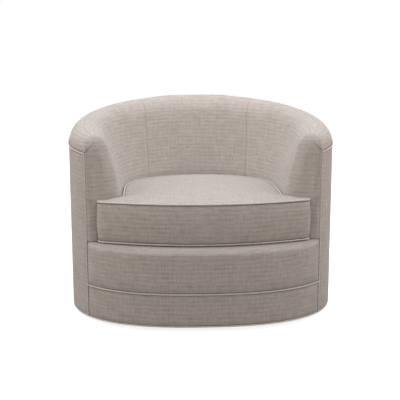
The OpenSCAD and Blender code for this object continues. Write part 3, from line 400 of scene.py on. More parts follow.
def arm_grid():
    """The right arm's cover as a grid: inside from its seam, round the front, and back outside."""
    seam, end = seam_angle(LEVELS)[:, None], end_angle(LEVELS)[:, None]
    inside_angle = seam + (end - seam) * shares_from_edge(ARM_LENGTH)
    outside_angle = inside_angle[:, -2::-1]
    inside_share, outside_share = INSIDE_AT(LEVELS)[:, None], OUTSIDE_AT(LEVELS)[:, None]
    full = np.ones((1, len(NOSE_COLUMNS)))
    angle = np.hstack([inside_angle, end * full, outside_angle])
    plan = np.concatenate([
        wall_plan(inside_angle, inside_share * np.ones_like(inside_angle)),
        nose_plan(end * full, outside_share * full, inside_share * full,
                  NOSE_COLUMNS * np.ones_like(end), NOSE_ROLL),
        wall_plan(outside_angle, outside_share * np.ones_like(outside_angle))], 1)
    turn = inside_angle.shape[1]
    corner = turn + len(NOSE_COLUMNS) - 1
    plan[:WELT_ROW + 1, corner] += WELT_ROOM * END_ALONG
    points = raised(plan, LEVELS[:, None])
    points[WELT_ROW, corner + 1:, 2] += WELT_ROOM
    return points, np.maximum(angle, end + END_LEAN), turn, corner


def arm_cover():
    """The right arm's cover: inside, round the front and over the crown, as far back as its seam."""
    points, angle, turn, corner = arm_grid()
    across, up = along(points, 1), along(points, 0)
    from_corner = across - across[:, corner:corner + 1]
    above_welt = up - up[WELT_ROW:WELT_ROW + 1]
    edge = np.ones_like(across)
    edge[:WELT_ROW + 1] = np.minimum(edge, np.abs(from_corner))[:WELT_ROW + 1]
    edge[WELT_ROW:, corner:] = np.minimum(edge, np.abs(above_welt))[WELT_ROW:, corner:]
    sides = across.copy()
    sides[WELT_ROW:] = from_sides(across)[WELT_ROW:]
    dart = np.ones_like(edge)
    mitre = np.abs(from_corner + MITRE_SLOPE * above_welt)
    dart[WELT_ROW:] = (MITRE_WIDTH * mitre + np.maximum(0, above_welt - MITRE_TOP))[WELT_ROW:]
    faces = quads(*angle.shape, keep=lambda r, c: c < corner or r >= WELT_ROW)
    from_turn = across - across[:, turn + TURN_COLUMNS:turn + TURN_COLUMNS + 1]
    filling = np.interp(LEVELS, FILLING_LEVELS, FILLING_SHARES)[:, None] * sum(
        height * hill(from_turn, middle, reaches) for height, middle, reaches in ARM_FILLING)
    return finish_wall("right_arm", points, angle, faces, edge, dart, sides, seed=7.7, filling=filling)


def mirrored(piece, name):
    """The same piece on the other side, its faces turned to point outwards again."""
    def flip(bm):
        for v in bm.verts:
            v.co.x = -v.co.x
        bmesh.ops.reverse_faces(bm, faces=bm.faces)

    mesh = piece.data.copy()
    mesh.name = name
    return placed(name, reshaped(mesh, flip))


# OUTSIDE, FRONT AND DECK
ROOM_ANGLE = WELT_ROOM / END_SPEED
SIDE_FROM, SIDE_TO = ROOM_ANGLE - ARM_END, 180 + ARM_END - ROOM_ANGLE
FRONT_FROM, FRONT_TO = 180 + ARM_END + ROOM_ANGLE, 360 - ARM_END - ROOM_ANGLE
# Pitches of the rows: up the outside, and up the front's narrow panels
OUTSIDE_HEIGHT, OUTSIDE_PITCH, FRONT_PITCH = 0.6, 0.012, 0.007


def panel(name, at, shape, seed, free=(), fullness=0.0, size=0.12):
    """A cloth panel. at(depth) gives its grid of points, from the bottom up, at a depth under its face."""
    points = at(np.zeros(shape))
    across, up = along(points, 1), along(points, 0)
    edge = np.minimum(from_sides(across), up)
    if "top" not in free:
        edge = np.minimum(edge, up[-1:] - up)
    swell = np.clip(edge / SWELL_REACH, 0, 1)
    wave = PANEL_WAVE * uneven(points, size, seed) * np.clip(edge / PANEL_CALM, 0, 1)
    depth = turned_edge(edge) - fullness * swell * (2 - swell) - wave
    return cloth_shell(name, at(depth).reshape(-1, 3), at(depth + CLOTH).reshape(-1, 3), quads(*shape),
                       np.stack([across, up], -1).reshape(-1, 2), edge.ravel())


def plan_angles(start, stop, pitch=0.008):
    """Angles of a panel's columns between two seams, and its length along the outer plan."""
    length = float(along(outer_plan(np.linspace(start, stop, 400))[None], 1)[0, -1])
    return start + (stop - start) * shares_from_edge(length, pitch, both=True), length


def upright_panel(name, angle, z, seed):
    """A panel that stands on the outer plan, with its heights in a grid."""
    angle = np.broadcast_to(angle, z.shape)
    return panel(name, lambda depth: lifted(inset_plan(angle, depth), z), z.shape, seed)


def outside_panel():
    """The outside cover, from the hem up to the welt under the crown. Also gives its length and height."""
    angle, length = plan_angles(SIDE_FROM, SIDE_TO)
    bottom, top = HEM_Z + WELT_ROOM, raised(outer_plan(angle), WELT_SHARE)[:, 2] - WELT_ROOM
    z = bottom + (top - bottom) * shares_from_edge(OUTSIDE_HEIGHT, OUTSIDE_PITCH, both=True)[:, None]
    return upright_panel("outside_cover", angle, z, 5.5), length, float((top - bottom).mean())


def border_panel():
    """The front border, which stands on its welt and rolls over on to the deck."""
    angle, length = plan_angles(FRONT_FROM, FRONT_TO)
    low, top = BAND_WELT_Z + WELT_ROOM, DECK_Z - GAP
    to_end = length * np.minimum(angle - FRONT_FROM, FRONT_TO - angle) / (FRONT_TO - FRONT_FROM)
    share = np.sin(np.clip(to_end / END_ROLL_REACH, 0, 1) * math.pi / 2) ** 2
    roll = END_ROLL_R + (ROLL_R - END_ROLL_R) * share
    face = shares_from_edge(top - ROLL_R - low, FRONT_PITCH)[:, None]
    turn = np.radians(np.linspace(0, 90, 13))[1:, None]
    flap = np.linspace(0, 1, 18)[1:, None]
    flat = 0 * angle
    inset = np.concatenate([0 * face + flat, roll * (1 - np.cos(turn)), roll + (FLAP_DEPTH - roll) * flap])
    z = np.concatenate([low + (top - roll - low) * face, top - roll + roll * np.sin(turn),
                        top + 0 * flap + flat])
    tilt = np.concatenate([0 * face + flat, turn + flat, math.pi / 2 + 0 * flap + flat])

    def at(depth):
        plan = inset_plan(np.broadcast_to(angle, z.shape), inset + depth * np.cos(tilt))
        return lifted(plan, z - depth * np.sin(tilt))

    on_face = np.clip((FACE_TILT - tilt) / FACE_TILT, 0, 1)
    return panel("front_border", at, z.shape, 2.2, free=("top",), fullness=BORDER_FILLING * on_face)


def band_panel():
    """The band under the border's welt, down to the hem."""
    angle, _ = plan_angles(FRONT_FROM, FRONT_TO)
    low, high = HEM_Z + WELT_ROOM, BAND_WELT_Z - WELT_ROOM
    z = low + (high - low) * shares_from_edge(high - low, FRONT_PITCH, both=True)[:, None] + 0 * angle
    return upright_panel("base_band", angle, z, 9.1)


# NODE TREES for what follows a path or repeats along one
def tree_of(name, **sockets):
    """A geometry node tree with named inputs, and its first and last nodes."""
    tree = bpy.data.node_groups.new(name, "GeometryNodeTree")
    for way in ("INPUT", "OUTPUT"):
        tree.interface.new_socket("Geometry", in_out=way, socket_type="NodeSocketGeometry")
    for label, kind in sockets.items():
        tree.interface.new_socket(label, in_out="INPUT", socket_type="NodeSocket" + kind)
    return tree, tree.nodes.new("NodeGroupInput").outputs, tree.nodes.new("NodeGroupOutput").inputs


def node(tree, kind, inputs=None, **settings):
    """A node with its settings and with values or links for its named or numbered inputs."""
    made = tree.nodes.new(kind)
    for key, value in settings.items():
        setattr(made, key, value)
    for key, value in (inputs or {}).items():
        if isinstance(value, bpy.types.NodeSocket):
            tree.links.new(value, made.inputs[key])
        else:
            made.inputs[key].default_value = value
    return made


def run_tree(piece, tree, **values):
    """Sets the tree's inputs, then turns what it makes into the piece's plain mesh."""
    modifier = piece.modifiers.new(tree.name, "NODES")
    modifier.node_group = tree
    for item in tree.interface.items_tree:
        if item.in_out == "INPUT" and item.name in values:
            modifier[item.identifier] = values[item.name]
    return settle(piece)


def even_line(tree, path, step):
    """A path's edges as a line with its points at an even step."""
    line = node(tree, "GeometryNodeMeshToCurve", {0: path})
    return node(tree, "GeometryNodeResampleCurve", {"Curve": line.outputs[0], "Length": step},
                mode="LENGTH").outputs[0]


def measured(tree, line, label):
    """A line that keeps the distance along it, and that distance."""
    kept = node(tree, "GeometryNodeCaptureAttribute")
    kept.capture_items.new("FLOAT", label)
    tree.links.new(line, kept.inputs[0])
    tree.links.new(node(tree, "GeometryNodeSplineParameter").outputs["Length"], kept.inputs[1])
    return kept.outputs[0], kept.outputs[1]


def stored(tree, geometry, label, value, kind):
    """Geometry with a value kept on its points."""
    return node(tree, "GeometryNodeStoreNamedAttribute",
                {"Geometry": geometry, "Name": label, "Value": value},
                data_type=kind, domain="POINT").outputs[0]


def end_tree(tree, last, geometry, material):
    """Smooth shading, real geometry and its finish, which end every tree here."""
    smooth = node(tree, "GeometryNodeSetShadeSmooth", {"Geometry": geometry})
    real = node(tree, "GeometryNodeRealizeInstances", {"Geometry": smooth.outputs[0]})
    made = node(tree, "GeometryNodeSetMaterial", {"Geometry": real.outputs[0], "Material": material})
    tree.links.new(made.outputs[0], last[0])
    return tree


def cord_tree():
    """A covered cord along a path, with its thread directions stored for the weave."""
    tree, first, last = tree_of("covered_cord", Radius="Float", Step="Float", Finish="Material")
    path, length = measured(tree, even_line(tree, first["Geometry"], first["Step"]), "Along")
    circle = node(tree, "GeometryNodeCurvePrimitiveCircle", {"Resolution": 12, "Radius": first["Radius"]})
    ring, turn = measured(tree, circle.outputs[0], "Round")
    skin = node(tree, "GeometryNodeCurveToMesh", {"Curve": path, "Profile Curve": ring, "Fill Caps": True})
    threads = node(tree, "ShaderNodeCombineXYZ", {0: length, 1: turn})
    woven = stored(tree, skin.outputs[0], "weave", threads.outputs[0], "FLOAT_VECTOR")
    return end_tree(tree, last, stored(tree, woven, "seam", 1.0, "FLOAT"), first["Finish"])


def row_tree():
    """Copies of a small part at an even pitch along a path, every other one moved aside."""
    tree, first, last = tree_of("row_of_parts", Part="Object", Pitch="Float", Aside="Vector",
                                Finish="Material")
    part = node(tree, "GeometryNodeObjectInfo", {"Object": first["Part"]})
    turn = node(tree, "FunctionNodeAlignRotationToVector",
                {"Vector": node(tree, "GeometryNodeInputTangent").outputs[0]}, axis="X", pivot_axis="Z")
    copies = node(tree, "GeometryNodeInstanceOnPoints",
                  {"Points": even_line(tree, first["Geometry"], first["Pitch"]),
                   "Instance": part.outputs["Geometry"], "Rotation": turn.outputs[0]})
    odd = node(tree, "ShaderNodeMath", {0: node(tree, "GeometryNodeInputIndex").outputs[0], 1: 2.0},
               operation="MODULO")
    shift = node(tree, "ShaderNodeVectorMath", {0: first["Aside"], "Scale": odd.outputs[0]},
                 operation="SCALE")
    moved = node(tree, "GeometryNodeTranslateInstances",
                 {"Instances": copies.outputs[0], "Translation": shift.outputs[0], "Local Space": True})
    return end_tree(tree, last, moved.outputs[0], first["Finish"])


def path_piece(name, points, closed=False):
    """A path of edges, for a tree to follow."""
    n = len(points)
    mesh = bpy.data.meshes.new(name)
    mesh.from_pydata([tuple(p) for p in points],
                     [(i, (i + 1) % n) for i in range(n if closed else n - 1)], [])
    return placed(name, mesh)


def sew_welt(name, path, closed, body, nodes, tree):
    """A covered cord along a seam."""
    sizes = bpy.context.scene.barrel_chair_sizes
    piece = run_tree(path_piece(name + "_cord", path, closed), tree, Radius=sizes.welt_radius,
                     Step=sizes.welt_step, Finish=finish("welt_linen"))
    return dress(piece, "welt_linen", body, nodes)


def set_row(name, path, closed, part, hue, body, **values):
    """A row of copies of a small part along a path."""
    piece = run_tree(path_piece(name, path, closed), row_tree(), Part=part, Finish=finish(hue), **values)
    bpy.data.objects.remove(part)
    return dress(piece, hue, body, [])


# Points of the welts' paths: round the outside, across the front, round the hem and up the arms' fronts
OUTSIDE_POINTS, BAND_POINTS, HEM_POINTS, UPRIGHT_POINTS = 400, 200, 500, 60


def welt_lines():
    """The tub's welt cords by name: their path, and whether it closes on itself."""
    corner = outer_plan(-ARM_END)
    top = float(raised(corner, WELT_SHARE)[2]) - WELT_R
    side = np.linspace(-ARM_END, 180 + ARM_END, OUTSIDE_POINTS)
    front = np.linspace(FRONT_FROM, FRONT_TO, BAND_POINTS)
    hem = np.linspace(0, 360, HEM_POINTS)[:-1]
    lines = {
        "outside_welt": (raised(outer_plan(side), WELT_SHARE), False),
        "band_welt": (lifted(outer_plan(front), BAND_WELT_Z), False),
        "hem_welt": (lifted(inset_plan(hem, WELT_R), HEM_Z), True)}
    z = np.linspace(HEM_Z + WELT_ROOM, top, UPRIGHT_POINTS)
    for name, side_sign in (("right_front_welt", 1), ("left_front_welt", -1)):
        lines[name] = (lifted(np.broadcast_to(corner * [side_sign, 1], (len(z), 2)), z), False)
    return lines


# THE LOOSE CUSHION
CUSHION_GAP, NOSE_STOP = 0.004, 0.37
FRONT_HALF_W, FRONT_BOW, CUSHION_FRONT = 0.347, 0.070, 0.376
CORNER, CORNER_STOP = np.array([0.355, -0.312]), 0.88
CUSHION_LOW, CUSHION_BAND, CROWN, CROWN_POWER = 0.27575, 0.131, 0.026, 2.6
BACK_DROP, DRAWN_IN, HEART = 0.014, 0.003, np.array([0.0, -0.170])
ZIP_ANGLE, CUSHION_PITCH = 22.5, 0.007
# The top panel's crown stays this much lower than the CAD's, and the bottom panel sags this much
CROWN_ROOM, BOTTOM_SAG = 0.005, 0.0042
# In front of this line the boxing isn't held by the arms, so it swells and moves more
HELD_Y, HELD_MOVE, FREE_MOVE, FREE_SWELL, SWELL_POWER = -0.300, 0.0022, 0.0070, 0.0070, 2.4
# The cloth simulation: voxel size, steps, inner pressure, mass, and how near a welt the cloth is held
VOXEL, SWELL_STEPS, PRESSURE, CLOTH_MASS = 0.0065, 20, 4.0, 0.3
PIN_REACH, PIN_HEIGHT = 0.008, 0.006
# Each point follows this many points of the simulation, and near the deck it doesn't go down
NEIGHBOURS, NEAR_ENOUGH, DECK_REACH = 6, 0.002, 0.004
# The panels' mean reach from rim to middle, which scales their edge steps
PANEL_REACH = 0.3
ZIP_PROUD, ZIP_END_ROOM = 0.0010, 3


def eased(values, times, rise=True):
    """Numbers round a closed ring, each drawn towards its neighbours, and never up unless they may rise."""
    for _ in range(times):
        mean = 0.5 * values + 0.25 * (np.roll(values, 1) + np.roll(values, -1))
        values = mean if rise else np.minimum(values, mean)
    return values


def gap_share(angle):
    """The share of the wall's width at which the cushion stands its gap away from it."""
    return 1 + CUSHION_GAP / np.linalg.norm(inner_plan(angle) - outer_plan(angle), axis=-1)


def cushion_plan():
    """The cushion's plan as an even ring of points from the middle of its back, and its outward normals."""
    angle = np.concatenate([np.linspace(90, 0, 60), np.linspace(0, -ARM_END, 20)[1:]])
    side = wall_plan(angle, gap_share(angle))
    g = float(gap_share(np.float64(-ARM_END)))
    u = np.linspace(1, NOSE_STOP, 20)[1:]
    nose = nose_plan(np.full(len(u), -ARM_END), np.full(len(u), 1 - g), np.full(len(u), g), u)
    nose[:, 1] -= 3 * u * (1 - u) * CUSHION_GAP

    def front(s):
        return np.array([FRONT_HALF_W * s, FRONT_BOW * s * s - CUSHION_FRONT])

    t = np.linspace(0, 1, 16)[1:, None]
    corner = (1 - t) ** 2 * nose[-1] + 2 * (1 - t) * t * CORNER + t * t * front(CORNER_STOP)
    bow = np.array([front(s) for s in np.linspace(CORNER_STOP, 0, 40)[1:]])
    half = np.vstack([side, nose, corner, bow])
    ring = np.vstack([half, (half * [-1, 1])[-2:0:-1]])
    closed = np.vstack([ring, ring[:1]])
    way = np.concatenate([[0], np.cumsum(np.linalg.norm(np.diff(closed, axis=0), axis=1))])
    count = 2 * round(way[-1] / CUSHION_PITCH / 2)
    at = np.linspace(0, way[-1], count, endpoint=False)
    ring = np.column_stack([np.interp(at, way, closed[:, k]) for k in range(2)])
    for _ in range(2):
        ring = ring + 0.25 * (np.roll(ring, 1, 0) + np.roll(ring, -1, 0) - 2 * ring)
    tangent = unit(np.roll(ring, -1, 0) - np.roll(ring, 1, 0))
    normal = np.column_stack([-tangent[:, 1], tangent[:, 0]])
    return ring, normal if (normal[0] @ (ring[0] - HEART)) > 0 else -normal


def top_z(y):
    """Height of the cushion's top welt, which falls towards the back."""
    fall = BACK_DROP * (CUSHION_FRONT + y) / (CUSHION_FRONT + WIDEST_Y + SEAT_BACK_DEPTH)
    return CUSHION_LOW + CUSHION_BAND - fall


def crown_grid(ring, shares, low=False):
    """Rings of the top or bottom panel, from the rim to the middle."""
    plan = HEART + (ring[None] - HEART) * shares[:, None, None]
    bulge = 1 - shares[:, None] ** CROWN_POWER
    if low:
        return lifted(plan, CUSHION_LOW - BOTTOM_SAG * bulge)
    return lifted(plan, top_z(plan[..., 1]) + (CROWN - CROWN_ROOM) * bulge)


def band_grid(ring, rows, room=WELT_ROOM):
    """Rows of the band between the cushion's two welts."""
    low, high = CUSHION_LOW + room, top_z(ring[:, 1]) - room
    return lifted(np.broadcast_to(ring, (len(rows), *ring.shape)), low + (high - low) * rows[:, None])


def points_tree(points):
    """The points in a tree that finds the nearest of them."""
    tree = kdtree.KDTree(len(points))
    for i, p in enumerate(points):
        tree.insert(p, i)
    tree.balance()
    return tree


def swelling_form(rim):
    """The whole cushion as one closed mesh of even voxels."""
    shares = np.linspace(1, 0.02, 30)
    rings = [*crown_grid(rim, shares, low=True)[::-1], *band_grid(rim, np.linspace(0, 1, 14), 0.0)[1:-1],
             *crown_grid(rim, shares)]
    n, m = len(rim), len(rings)
    points = np.vstack([*rings, rings[0].mean(0)[None], rings[-1].mean(0)[None]])
    faces = quads(m, n, wrap=True)
    faces += [(tip, b, a) for a, b, tip in fan(0, m * n, n)]
    faces += [(tip, a, b) for a, b, tip in fan((m - 1) * n, m * n + 1, n)]
    form = make("cushion_swell", points, faces)
    remesh = form.modifiers.new("voxels", "REMESH")
    remesh.mode, remesh.voxel_size = "VOXEL", VOXEL
    return settle(form)


def plump(rim, cap):
    """Swells the whole cushion once with Blender's cloth, and gives each rest point's movement."""
    form = swelling_form(rim)
    rest = np.array([v.co for v in form.data.vertices])
    near = points_tree([(p[0], p[1], 0) for p in rim])
    to_rim = np.array([near.find((p[0], p[1], 0))[2] for p in rest])
    to_welt = np.minimum(np.abs(rest[:, 2] - top_z(rest[:, 1])), np.abs(rest[:, 2] - CUSHION_LOW))
    held = (to_rim < PIN_REACH) & (to_welt < PIN_HEIGHT)
    pins = form.vertex_groups.new(name="welts")
    pins.add([int(i) for i in np.nonzero(held)[0]], 1.0, "REPLACE")
    cloth = form.modifiers.new("cloth", "CLOTH")
    settings = cloth.settings
    settings.quality, settings.mass = 5, CLOTH_MASS
    settings.use_pressure, settings.uniform_pressure_force = True, PRESSURE
    settings.effector_weights.gravity = 0.0
    settings.vertex_group_mass = "welts"
    cloth.collision_settings.use_collision = cloth.collision_settings.use_self_collision = False
    scene = bpy.context.scene
    scene.frame_start, scene.frame_end = 1, SWELL_STEPS
    for step in range(1, SWELL_STEPS + 1):
        scene.frame_set(step)
    graph = bpy.context.evaluated_depsgraph_get()
    swollen = np.array([v.co for v in form.evaluated_get(graph).data.vertices])
    bpy.data.objects.remove(form)
    scene.frame_set(1)
    move = swollen - rest
    size = np.linalg.norm(move, axis=1, keepdims=True)
    return points_tree(rest), move * np.minimum(1, cap / np.maximum(size, NEAR_ZERO))


def follow(field, points, sideways):
    """Moves points as the swollen cushion moved near them, less to the sides and not below the deck."""
    if field is None:
        return points
    tree, move = field
    flat = points.reshape(-1, 3)
    out = np.empty_like(flat)
    for i, p in enumerate(flat):
        found = tree.find_n(Vector(p), NEIGHBOURS)
        weight = np.array([1 / (f[2] + NEAR_ENOUGH) ** 2 for f in found])
        out[i] = (weight[:, None] * move[[f[1] for f in found]]).sum(0) / weight.sum()
    out = out.reshape(points.shape)
    reach = np.linalg.norm(out[..., :2], axis=-1, keepdims=True)
    out[..., :2] *= np.minimum(1, sideways[..., None] / np.maximum(reach, NEAR_ZERO))
    on_deck = points[..., 2] < CUSHION_LOW + DECK_REACH
    out[..., 2] = np.where(on_deck, np.maximum(out[..., 2], 0), out[..., 2])
    return points + out


def cushion_cloth(name, field, grid, faces, edge, weave, way, sideways, hub=None):
    """One panel of the cushion: it follows the swelling, and its edges turn in. A hub closes its middle."""
    points = follow(field, grid, np.broadcast_to(sideways, grid.shape[:-1]))
    wave = CUSHION_WAVE * uneven(grid, 0.11, 4.0) * np.clip(edge / WALL_CALM, 0, 1)
    points = points - way * (turned_edge(edge) - wave)[..., None]
    outer, weave, seam, way = points.reshape(-1, 3), weave.reshape(-1, 2), edge.ravel(), way.reshape(-1, 3)
    if hub is not None:
        middle = points[-1].mean(0)
        outer, weave = np.vstack([outer, middle]), np.vstack([weave, middle[:2]])
        seam, way = np.append(seam, 1.0), np.vstack([way, hub])
    return cloth_shell(name, outer, outer - CLOTH * way, faces, weave, seam)


def cushion_skins(sizes):
    """The cushion's four cloth panels, shaped by its swelling, its welts' paths and its zip's."""
    ring, normal = cushion_plan()
    rim = ring - DRAWN_IN * normal
    n = len(ring)
    field = plump(rim, sizes.cushion_swell)
    behind = ring[:, 1] > HELD_Y
    sideways = eased(np.where(behind, HELD_MOVE, FREE_MOVE), 8, rise=False)
    pieces = {}
    last_step = 1 - EDGE_STEPS[-1] / PANEL_REACH
    shares = np.concatenate([1 - EDGE_STEPS / PANEL_REACH, np.linspace(last_step, 0.03, 38)[1:]])
    m = len(shares)
    for name, up in (("cushion_top_panel", 1.0), ("cushion_bottom_panel", -1.0)):
        grid = crown_grid(ring - (DRAWN_IN + WELT_ROOM) * normal, shares, low=up < 0)
        faces = quads(m, n, wrap=True) + fan((m - 1) * n, m * n, n)
        hub = np.array([0, 0, up])
        pieces[name] = cushion_cloth(name, field, grid, faces, along(grid, 0), grid[..., :2],
                                     np.zeros_like(grid) + hub, sideways, hub)

    rows = shares_from_edge(CUSHION_BAND, CUSHION_PITCH, both=True)
    zip_y = float(wall_plan(np.float64(ZIP_ANGLE), gap_share(np.float64(ZIP_ANGLE)))[1])
    last = int(np.nonzero(ring[:n // 2, 1] > zip_y)[0][-1])
    full = eased(np.where(behind, DRAWN_IN, FREE_SWELL), 4)
    swell = (1 - np.abs(2 * rows - 1) ** SWELL_POWER)[:, None]
    for name, span in (("cushion_boxing", np.arange(last, n - last + 1)),
                       ("cushion_zip_boxing", np.arange(-last, last + 1))):
        cols = span % n
        band = band_grid(rim, rows)[:, cols]
        way = np.broadcast_to(np.column_stack([normal[cols], np.zeros(len(cols))]), band.shape)
        band = band + way * (swell * full[cols])[..., None]
        across, rise = along(band, 1), along(band, 0)
        edge = np.minimum(np.minimum(rise, rise[-1:] - rise), from_sides(across))
        pieces[name] = cushion_cloth(name, field, band, quads(*band.shape[:2]), edge,
                                     np.stack([across, rise], -1), way, sideways[cols])
    top = top_z(rim[:, 1])
    lines = {"cushion_top_welt": lifted(rim, top), "cushion_bottom_welt": lifted(rim, CUSHION_LOW)}
    back = np.arange(ZIP_END_ROOM - last, last - ZIP_END_ROOM + 1) % n
    zip_line = lifted((ring + ZIP_PROUD * normal)[back], (CUSHION_LOW + top[back]) / 2)
    return pieces, lines, zip_line


# FINISHES
# The linen's threads: cells to the metre each way, roughness and share of the tone
LINEN_THREADS = (((34.0, 340.0, 9.0), 0.6, 0.24), ((300.0, 30.0, 8.0), 0.6, 0.18),
                 ((15.0, 125.0, 2.5), 0.6, 0.19), ((150.0, 14.0, 2.5), 0.6, 0.12),
                 ((16.0, 16.0, 16.0), 0.5, 0.06))
# Its regular lines: the axis that they cross, their pitch and their share of the tone
LINEN_LINES = ((1, 0.0142, 0.020), (0, 0.0078, 0.012))
# Share of the plain weave's relief in the tone and in the height, and the warmer threads' tint
RELIEF_TONE, RELIEF_HEIGHT, WARMER = 0.035, 0.35, (1.02, 0.99, 0.975)
# Painted shade beside a seam, standing in for the shadow in the crease at a welt or seam: the distances
# between which it clears, and how dark it starts
SHADE_FROM, SHADE_TO, SHADE = 0.0002, 0.0042, 0.45
STRAP_THREAD, STRAP_RADIUS = 0.004, 0.4


def plain(name, roughness, metallic=0.0, **sockets):
    """A material with its constants on the shader, its tree and its shader."""
    material = bpy.data.materials.new(name)
    material.use_nodes = True
    shader = material.node_tree.nodes["Principled BSDF"]
    shader.inputs["Roughness"].default_value = roughness
    shader.inputs["Metallic"].default_value = metallic
    for key, value in sockets.items():
        shader.inputs[key].default_value = value
    return material, material.node_tree, shader


def maths(tree, operation, a, b=0.0):
    return node(tree, "ShaderNodeMath", {0: a, 1: b}, operation=operation).outputs[0]


def weighted(tree, *parts):
    """The sum of values, each times its share."""
    total, *others = [maths(tree, "MULTIPLY", value, share) for value, share in parts]
    for part in others:
        total = maths(tree, "ADD", total, part)
    return total


def waves(tree, value, pitch):
    """A sine that repeats at a pitch in metres."""
    return maths(tree, "SINE", maths(tree, "MULTIPLY", value, 2 * math.pi / pitch))


def fitted(tree, value, low, high, to_low=0.0, to_high=1.0, smooth=False):
    """A value moved from one range to another, and kept inside it."""
    return node(tree, "ShaderNodeMapRange", {"Value": value, "From Min": low, "From Max": high,
                                             "To Min": to_low, "To Max": to_high},
                interpolation_type="SMOOTHSTEP" if smooth else "LINEAR").outputs[0]


def stretched_noise(tree, vector, scale, detail=2.0, roughness=0.5):
    """Noise with its own scale along each axis, in cells to the metre."""
    sized = node(tree, "ShaderNodeVectorMath", {0: vector, 1: scale}, operation="MULTIPLY")
    return node(tree, "ShaderNodeTexNoise", {"Vector": sized.outputs[0], "Scale": 1.0, "Detail": detail,
                                             "Roughness": roughness}).outputs[0]


def mixed(tree, share, a, b, blend="MIX"):
    made = node(tree, "ShaderNodeMix", data_type="RGBA", blend_type=blend)
    for index, value in ((0, share), (6, a), (7, b)):
        if isinstance(value, bpy.types.NodeSocket):
            tree.links.new(value, made.inputs[index])
        else:
            made.inputs[index].default_value = value if isinstance(value, float) else (*value[:3], 1)
    return made.outputs[2]


def painted(material, colour, height, strength, distance):
    """Gives a material its colour and its relief."""
    tree = material.node_tree
    bump = node(tree, "ShaderNodeBump", {"Height": height, "Strength": strength, "Distance": distance})
    for label, value in (("Base Color", colour), ("Normal", bump.outputs[0])):
        tree.links.new(value, tree.nodes["Principled BSDF"].inputs[label])
    return material


def coordinates(tree):
    return node(tree, "ShaderNodeTexCoord").outputs["Object"]


def separated(tree, vector):
    return node(tree, "ShaderNodeSeparateXYZ", {0: vector}).outputs


def attribute(tree, name, output):
    return node(tree, "ShaderNodeAttribute", attribute_name=name).outputs[output]


def linen(name, light, dark, thread=0.0022, bias=False, of_cloth=True):
    """Plain-woven slub linen: threads both ways, thick places along them, and painted shade beside its seams,
    for the shadow in their creases.
    """
    material, tree, _ = plain(name, 0.9, **{
        "Sheen Weight": 0.25, "Sheen Roughness": 0.45, "Specular IOR Level": 0.2})
    vector = attribute(tree, "weave", "Vector") if of_cloth else coordinates(tree)
    if bias:
        vector = node(tree, "ShaderNodeVectorRotate", {"Vector": vector, "Angle": math.pi / 4},
                      rotation_type="Z_AXIS").outputs[0]
    axes = separated(tree, vector)
    relief = maths(tree, "MULTIPLY", waves(tree, axes[0], thread), waves(tree, axes[1], thread))
    lines = [(waves(tree, axes[axis], pitch), share) for axis, pitch, share in LINEN_LINES]
    threads = [(stretched_noise(tree, vector, cells, roughness=rough), share)
               for cells, rough, share in LINEN_THREADS]
    tone = weighted(tree, (relief, RELIEF_TONE), *lines, *threads)
    colour = mixed(tree, fitted(tree, tone, 0.285, 0.505), dark, light)
    warm = stretched_noise(tree, vector, (60.0, 210.0, 60.0), roughness=0.6)
    colour = mixed(tree, fitted(tree, warm, 0.3, 0.7), colour, mixed(tree, 1.0, colour, WARMER, "MULTIPLY"))
    # Painted shade: the cloth darkens near a seam or welt, standing in for the shadow in the crease there
    shade = fitted(tree, attribute(tree, "seam", "Fac"), SHADE_FROM, SHADE_TO, SHADE, smooth=True)
    painted_shade_tint = node(tree, "ShaderNodeCombineColor", {0: shade, 1: shade, 2: shade}).outputs[0]
    thick = maths(tree, "ADD", threads[0][0], threads[1][0])
    height = maths(tree, "ADD", maths(tree, "MULTIPLY", relief, RELIEF_HEIGHT), thick)
    return painted(material, mixed(tree, 1.0, colour, painted_shade_tint, "MULTIPLY"), height, 0.5, 0.0007)


def grained(name, light, dark, axis=0, roughness=0.55, layers=0.0, bump=0.25):
    """Sawn wood or plywood: long grain, and the veneers' edges where the face is cut across."""
    material, tree, _ = plain(name, roughness)
    vector = coordinates(tree)
    scale = [55.0, 55.0, 55.0]
    scale[axis] = 3.0
    grain = stretched_noise(tree, vector, scale, 5.0, 0.65)
    fine = stretched_noise(tree, vector, [s * 7 for s in scale])
    tone = weighted(tree, (grain, 0.75), (fine, 0.25))
    colour = mixed(tree, fitted(tree, tone, 0.32, 0.68), dark, light)
    if layers:
        ply = waves(tree, separated(tree, vector)[2], layers)
        up = separated(tree, node(tree, "ShaderNodeNewGeometry").outputs["Normal"])[2]
        on_edge = fitted(tree, maths(tree, "ABSOLUTE", up), 0.3, 0.6, 1.0, 0.0)
        share = maths(tree, "MULTIPLY", on_edge, fitted(tree, ply, -0.2, 0.3, 0.0, 0.55))
        colour = mixed(tree, share, colour, dark)
    return painted(material, colour, tone, bump, 0.0006)


def speckled(name, light, dark, cells, roughness=0.8, bump=0.4, depth=0.0008, metallic=0.0):
    """Foam, felt, board, paint, plastic or metal: fine marks over a slow change of tone."""
    material, tree, shader = plain(name, roughness, metallic)
    vector = coordinates(tree)
    marks = stretched_noise(tree, vector, (cells,) * 3, 3.0, 0.65)
    slow = stretched_noise(tree, vector, (14.0,) * 3)
    tone = weighted(tree, (marks, 0.6), (slow, 0.4))
    tree.links.new(fitted(tree, marks, 0.3, 0.7, roughness - 0.08, min(1.0, roughness + 0.08)),
                   shader.inputs["Roughness"])
    return painted(material, mixed(tree, fitted(tree, tone, 0.3, 0.7), dark, light), marks, bump, depth)


